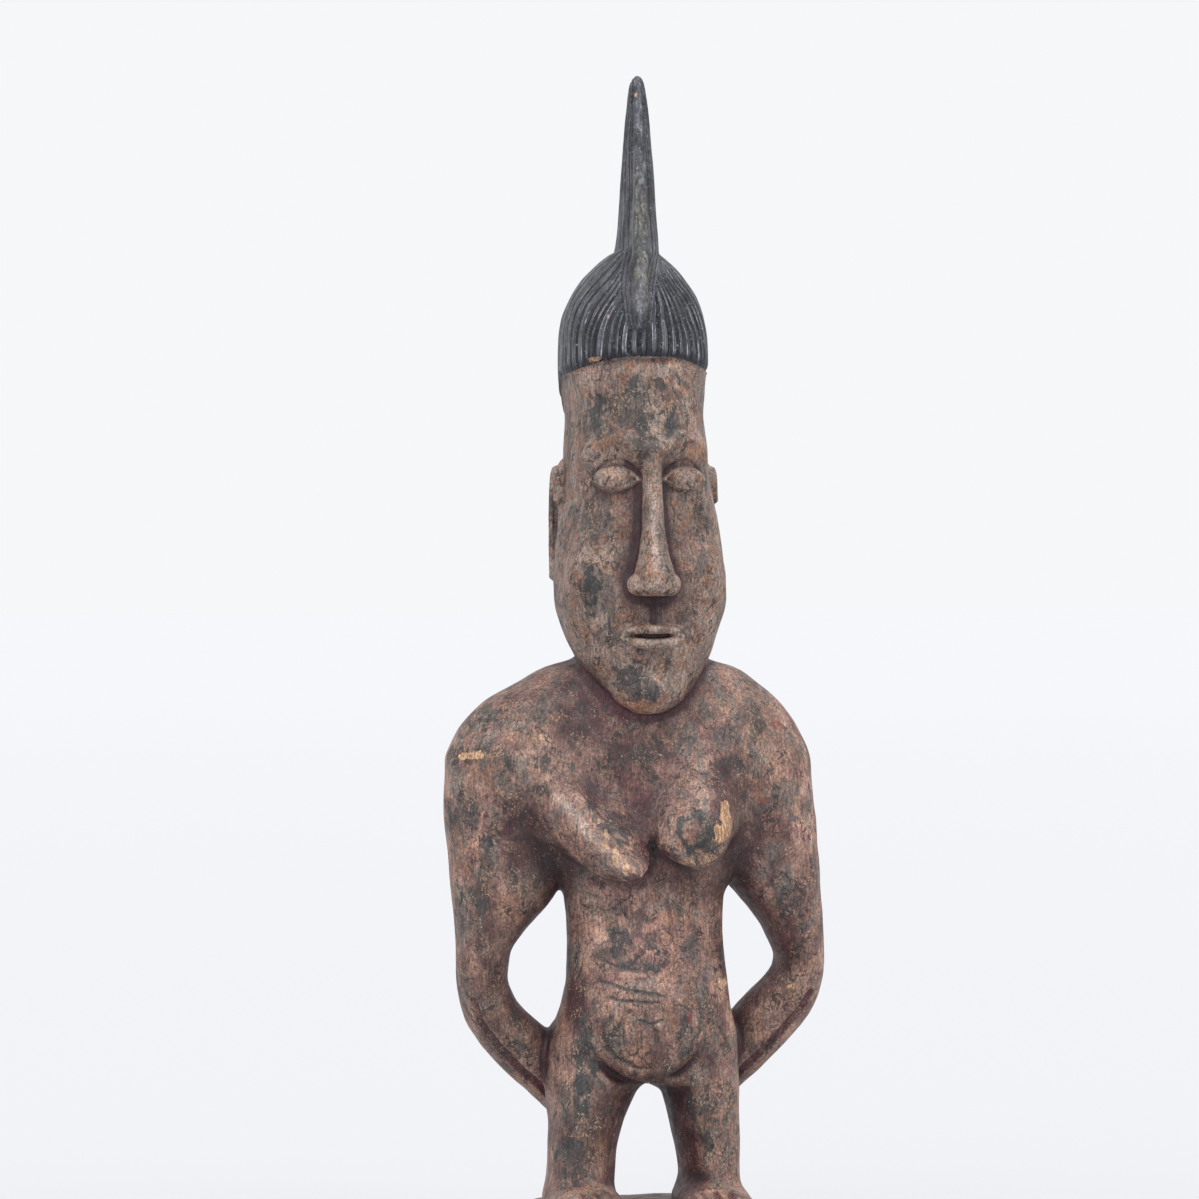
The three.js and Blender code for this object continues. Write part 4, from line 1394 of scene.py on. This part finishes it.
def new_node(tree, kind, output, inputs, **settings):
    """The output of a new node."""
    new = tree.nodes.new("ShaderNode" + kind)
    for name, value in settings.items():
        setattr(new, name, value)
    for key, value in inputs.items():
        put(new.inputs[key], value)
    return new.outputs[output]


def new_material(name):
    made = bpy.data.materials.new(name)
    made.use_nodes = True
    return made, made.node_tree, new_node(made.node_tree, "TexCoord", "Object", {})


wood, wood_tree, wood_place = new_material("carved_wood")


def node(*what, **settings):
    return new_node(wood_tree, *what, **settings)


def cloud(size, seed, detail=3.0, stretch=1.0, twist=0.0):
    """Noise in lumps of that many millimetres, drawn out upwards by the stretch."""
    spread = node("Mapping", "Vector", {
        "Vector": wood_place,
        "Location": (seed * 1.7, seed * 2.3, seed * 0.9),
        "Scale": (1 / (size * MM), 1 / (size * MM), 1 / (size * MM * stretch)),
    })
    lumps = {"Vector": spread, "Scale": 1.0, "Detail": detail, "Distortion": twist}
    return node("TexNoise", "Fac", lumps)


def ramp(value, low, high, to_low=0.0, to_high=1.0):
    """The value taken smoothly from between low and high to between two others."""
    ends = {"From Min": low, "From Max": high, "To Min": to_low, "To Max": to_high}
    return node("MapRange", "Result", {"Value": value, **ends}, interpolation_type="SMOOTHSTEP")


def sums(how, a, b=0.0, clamp=False):
    return node("Math", "Value", {0: a, 1: b}, operation=how, use_clamp=clamp)


def plus(a, b, clamp=False):
    return sums("ADD", a, b, clamp)


def minus(a, b, clamp=False):
    return sums("SUBTRACT", a, b, clamp)


def apart(a, b):
    return sums("ABSOLUTE", minus(a, b))


def times(value, *others):
    for other in others:
        value = sums("MULTIPLY", value, other)
    return value


def mixed(share, a, b, how="MIX"):
    return node("Mix", 2, {0: share, 6: a, 7: b}, data_type="RGBA", blend_type=how)


def painted(colour, *coats):
    """A colour under coats of others, each with the share of the place that it covers."""
    for share, coat in coats:
        colour = mixed(share, colour, coat)
    return colour


def shaded(colour, *shades):
    for shade in shades:
        colour = mixed(1.0, colour, shade, "MULTIPLY")
    return colour


# Reads one of the values put on the mesh's points, which hold wear, dirt, stains, painted shade and
# painted highlights
def marked(name):
    return node("Attribute", "Fac", {}, attribute_name=name)


def torn(name, lumps, amount, low, high, top=1.0):
    """A marked place whose edge the lumps of noise make ragged and crisp."""
    moved = times(minus(lumps, 0.5), amount)
    return ramp(plus(marked(name), moved), low, high, 0, top)


fine = cloud(0.4, 1, 2.0, 1.7)
grit = cloud(0.9, 2, 4.0, 2.0, 0.4)
coarse = cloud(2.2, 3, 5.0, 1.2)
grain = cloud(0.5, 4, 3.0, 10.0, 0.3)
patch = cloud(7, 6, 8.0, 1.5, 1.2)
flow = cloud(4, 13, 4.0, 3.0, 0.6)
uneven = mixed(ramp(grit, 0.36, 0.64), *UNEVEN)
speckle = mixed(ramp(fine, 0.32, 0.68), *SPECKLE)
chipped = torn("bare", cloud(0.8, 27, 4.0, 3.0), 1.6, 0.42, 0.58)
bare = shaded(mixed(ramp(grain, 0.4, 0.6), BARE_GRAIN, BARE_WOOD), speckle)
# The burgundy of hollows: partly camwood red, partly painted shade
hollow_red_and_shade = times(marked("wide_hollow_red_and_shade"), ramp(patch, 0.35, 0.62, 0.8, 0.5))
hollow_red_and_shade = plus(hollow_red_and_shade, times(marked("hollow_red_and_shade"), 0.95), True)
off_ridge = minus(1.0, marked("ridge"))
in_hair = marked("hair")


def paint():
    """The old paint on the skin in its patches, with what lies in them and on them, and painted shade in
    hollows, creases, cut lines and on inward sides, and painted highlights on edges and crests.
    """
    veil = ramp(cloud(17, 9, 4.0, 1.0, 0.6), 0.48, 0.66, 0, 0.35)
    # The burgundy veil takes in the stains and a painted shadow under the breasts
    veil = plus(veil, times(marked("stain_and_shadow"), ramp(patch, 0.35, 0.6, 0.75, 0.45)), True)
    smudge = ramp(cloud(8, 10, 9.0, 1.5, 1.2), 0.55, 0.63, 0, 0.6)
    smudge = plus(smudge, torn("dim", cloud(3, 29, 8.0, 1.4, 1.0), 2.6, 0.5, 0.95, 0.68), True)
    smudge = plus(smudge, torn("dark", cloud(2.4, 20, 9.0, 1.3, 0.8), 3.0, 0.4, 0.85, 0.85), True)
    return painted(
        mixed(ramp(cloud(13, 5, 6.0, 1.3, 0.8), 0.38, 0.6), BROWN, PINK),
        (ramp(cloud(8, 7, 8.0, 1.2, 1.0), 0.48, 0.6, 0, 0.75), MAUVE),
        (ramp(patch, 0.5, 0.6, 0, 0.8), GREY_GREEN),
        (ramp(cloud(5, 8, 8.0, 1.2, 1.0), 0.52, 0.62, 0, 0.6), ORANGE),
        (ramp(cloud(6, 17, 8.0, 1.0, 0.8), 0.54, 0.64, 0, 0.6), PINK),
        (veil, BURGUNDY),
        (times(marked("face"), ramp(cloud(6, 30, 6.0, 1.2, 0.8), 0.36, 0.6, 0.25, 0.85)), SALLOW),
        (times(marked("face"), ramp(cloud(4.5, 31, 8.0, 1.0, 1.0), 0.52, 0.6, 0, 0.65)), RUST),
        (smudge, SMUDGE_AND_SHADE),
        # inward-facing sides: partly burgundy staining, partly painted shade
        (times(marked("inner"), ramp(patch, 0.35, 0.62, 0.95, 0.6)), INWARD_RED_AND_SHADE),
        # hollows: partly camwood red, partly painted shade
        (hollow_red_and_shade, BURGUNDY),
        # crests: partly dust, partly painted highlight
        (times(marked("pale"), ramp(coarse, 0.36, 0.58, 0.35, 1.0)), DUST_AND_HIGHLIGHT),
        (torn("tan", coarse, 2.2, 0.45, 0.8, 0.9), TAN),
        # edges: partly wear, partly painted highlight
        (times(marked("edge"), ramp(coarse, 0.38, 0.58, 0.15, 0.85)), PALE),
        # creases: painted shade
        (times(marked("crease"), 0.55), PIT),
        # cut lines: partly dark marks, partly painted shade
        (torn("line", grit, 2.2, 0.4, 0.85, 0.75), SMUDGE_AND_SHADE),
        # forearms' grooves: partly burgundy, partly painted shade
        (times(marked("trench"), 0.85), TRENCH),
    )


def skin_colour():
    """The paint with its fine unevenness, dust, cracks, pits and chips."""
    streak = mixed(ramp(grain, 0.35, 0.65), *STREAK)
    tone = mixed(ramp(cloud(9, 28, 5.0, 1.2, 0.5), 0.38, 0.62), *TONE)
    dust = times(ramp(cloud(0.5, 18, 2.0), 0.55, 0.64), ramp(cloud(4, 23, 6.0), 0.48, 0.6, 0, 0.8))
    cracks = ramp(apart(cloud(3.2, 21, 4.0, 1.6, 0.6), 0.5), 0.03, 0.01)
    dashes = ramp(cloud(2.6, 25, 2.0, 0.14), 0.6, 0.67)
    return painted(
        shaded(paint(), uneven, speckle, streak, tone, marked("light")),
        (times(dust, minus(1.0, hollow_red_and_shade, True)), TAN),
        (times(cracks, ramp(cloud(6, 22, 3.0), 0.46, 0.56, 0, 0.85)), PIT),
        (times(dashes, ramp(cloud(9, 26, 3.0), 0.46, 0.6, 0, 0.65)), PIT),
        (ramp(cloud(0.8, 11, 3.0, 1.5), 0.63, 0.7, 0, 0.6), PIT),
        (times(marked("red"), 0.8), OLD_RED),
        (ramp(cloud(0.6, 12, 1.0), 0.74, 0.79, 0, 0.8), PALE),
        (chipped, bare),
    )


def strand_shapes():
    """The gaps between the strands, the pale rims beside them and the fine hairs on them. The gaps are
    painted shadow, the rims partly wear and partly painted highlight.
    """
    count, crest, lock = (marked(name) for name in ("count", "crest", "lock"))
    fine_place = sums("FRACT", count)
    broad_place = sums("FRACT", times(count, 0.5))
    side = plus(times(fine_place, minus(1.0, crest)), times(broad_place, crest))
    out = apart(times(side, 2.0), 1.0)
    narrow = minus(0.72, times(lock, 0.3))
    # Near black in the gaps between strands: painted shadow in the grooves
    gap = times(ramp(out, narrow, plus(narrow, 0.22)), ramp(flow, 0.38, 0.56, 0.4, 1.0))
    gap = times(gap, plus(times(lock, 0.15), 0.85), off_ridge)
    # Pale rims beside the gaps, brighter on the locks: partly wear, partly painted highlight
    rim = ramp(apart(out, minus(narrow, 0.06)), 0.12, 0.03)
    rim = times(rim, ramp(cloud(3, 14, 5.0, 2.5), 0.46, 0.62), plus(times(lock, 0.5), 0.45))
    hairs = ramp(sums("SINE", times(plus(count, times(grain, 0.2)), FINE_HAIRS)), -1, 1)
    return gap, rim, hairs


def hair_colour(gap, rim, hairs):
    drawn = mixed(ramp(cloud(0.8, 24, 3.0, 14.0, 0.5), 0.36, 0.64), *DRAWN)
    olive = times(marked("olive"), ramp(cloud(1.2, 19, 4.0, 8.0, 0.3), 0.4, 0.58, 0.15, 1.0))
    hair = mixed(olive, mixed(ramp(flow, 0.4, 0.6), HAIR_DARK, HAIR_GREY), HAIR_OLIVE)
    hair = painted(
        mixed(marked("ridge"), hair, shaded(hair, drawn)),
        # rims and edges of the strands: partly wear, partly painted highlight
        (times(rim, off_ridge), HAIR_WEAR_AND_HIGHLIGHT),
        (times(marked("edge"), ramp(coarse, 0.4, 0.6, 0, 0.7), off_ridge), HAIR_WEAR_AND_HIGHLIGHT),
        # gaps: painted shadow in the grooves
        (gap, HAIR_BLACK),
        # strands' ends along the hairline: painted shadow
        (marked("ends"), HAIR_BLACK),
        (ramp(cloud(6, 15, 6.0, 2.5, 0.6), 0.52, 0.64, 0, 0.7), HAIR_BLACK),
    )
    return painted(
        shaded(hair, mixed(hairs, *LINED), uneven, speckle),
        (ramp(cloud(0.6, 16, 1.0), 0.68, 0.74, 0, 0.85), HAIR_WEAR_AND_HIGHLIGHT),
        (chipped, bare),
    )


def finish_wood():
    gap, rim, hairs = strand_shapes()
    dull = ramp(coarse, 0.3, 0.7, 0.5, 0.72)
    sleek = ramp(coarse, 0.3, 0.7, 0.38, 0.58)
    strands = times(minus(times(hairs, 0.25, off_ridge), gap), in_hair)
    relief = plus(plus(times(fine, 0.4), times(grit, 0.5)), strands)
    bump = {"Strength": BUMP_STRENGTH, "Distance": BUMP_HEIGHT, "Height": relief}
    shader = wood_tree.nodes["Principled BSDF"]
    put(shader.inputs["Base Color"], mixed(in_hair, skin_colour(), hair_colour(gap, rim, hairs)))
    put(shader.inputs["Roughness"], plus(times(dull, minus(1.0, in_hair)), times(sleek, in_hair)))
    put(shader.inputs["Normal"], node("Bump", "Normal", bump))


finish_wood()
figure.data.materials.clear()
figure.data.materials.append(wood)

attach(figure, "root")
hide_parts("figure")

# The floor and the light

PAPER = (0.922, 0.93, 0.947)
FLOOR_REACH = 60.0
FLOOR_NEAR = (0.579, 0.58, 0.598)
FLOOR_FAR = (0.598, 0.602, 0.613)
FLOOR_FADE = 8.0
# Azimuth and elevation in degrees, strength, and how broad it is in degrees. Azimuth 0 is in
# front of the figure and 90 is its left.
SUNS = {"key": (35, 55, 1.5, 40), "fill": (-45, 45, 1.0, 60)}


def floor_material():
    made, tree, place = new_material("pale_floor")
    away = new_node(tree, "VectorMath", "Value", {0: place}, operation="LENGTH")
    share = new_node(tree, "MapRange", "Result", {"Value": away, "From Max": FLOOR_FADE})
    colour = new_node(tree, "Mix", 2, {0: share, 6: FLOOR_NEAR, 7: FLOOR_FAR}, data_type="RGBA")
    shader = tree.nodes["Principled BSDF"]
    put(shader.inputs["Base Color"], colour)
    put(shader.inputs["Roughness"], 0.9)
    put(shader.inputs["Specular IOR Level"], 0)
    return made


def add_floor():
    mesh = bpy.data.meshes.new("floor")
    corners = [(-1, -1), (1, -1), (1, 1), (-1, 1)]
    mesh.from_pydata([(x * FLOOR_REACH, y * FLOOR_REACH, 0) for x, y in corners], [], [(0, 1, 2, 3)])
    mesh.materials.append(floor_material())
    add_object("floor", mesh)


def aim(made, back):
    """Turns a light or a camera so that its back is towards a place."""
    made.rotation_mode = "QUATERNION"
    made.rotation_quaternion = back.to_track_quat("Z", "Y")


def add_sun(name, azimuth, elevation, strength, softness):
    """A soft light from far off."""
    data = bpy.data.lights.new(name, "SUN")
    data.energy = strength
    data.angle = math.radians(softness)
    a, e = math.radians(azimuth), math.radians(elevation)
    sun = add_object(name, data)
    sun.location = (math.sin(a) * math.cos(e), -math.cos(a) * math.cos(e), math.sin(e))
    aim(sun, sun.location)


def add_world():
    world = bpy.data.worlds.new("studio")
    world.use_nodes = True
    world.node_tree.nodes["Background"].inputs["Color"].default_value = (*PAPER, 1)
    bpy.context.scene.world = world


add_floor()
add_world()
for name, sun in SUNS.items():
    add_sun(name, *sun)

# The camera stands level with the middle of the figure, a little to its right. In metres.

VIEW_DISTANCE = 1.3979
VIEW_ASIDE = -0.01145
VIEW_HEIGHT = 0.169
SENSOR = 36.0
FRAME_PIXELS = 1199
FOCAL_PIXELS = 5600


def add_camera():
    data = bpy.data.cameras.new("camera")
    data.sensor_width = SENSOR
    data.lens = SENSOR * FOCAL_PIXELS / FRAME_PIXELS
    forward = Vector((VIEW_SIN, VIEW_COS, 0))
    right = Vector((VIEW_COS, -VIEW_SIN, 0))
    camera = add_object("camera", data)
    camera.location = right * VIEW_ASIDE - forward * VIEW_DISTANCE + Vector((0, 0, VIEW_HEIGHT))
    aim(camera, -forward)
    bpy.context.scene.camera = camera


add_camera()
bpy.context.scene.view_settings.view_transform = "Standard"
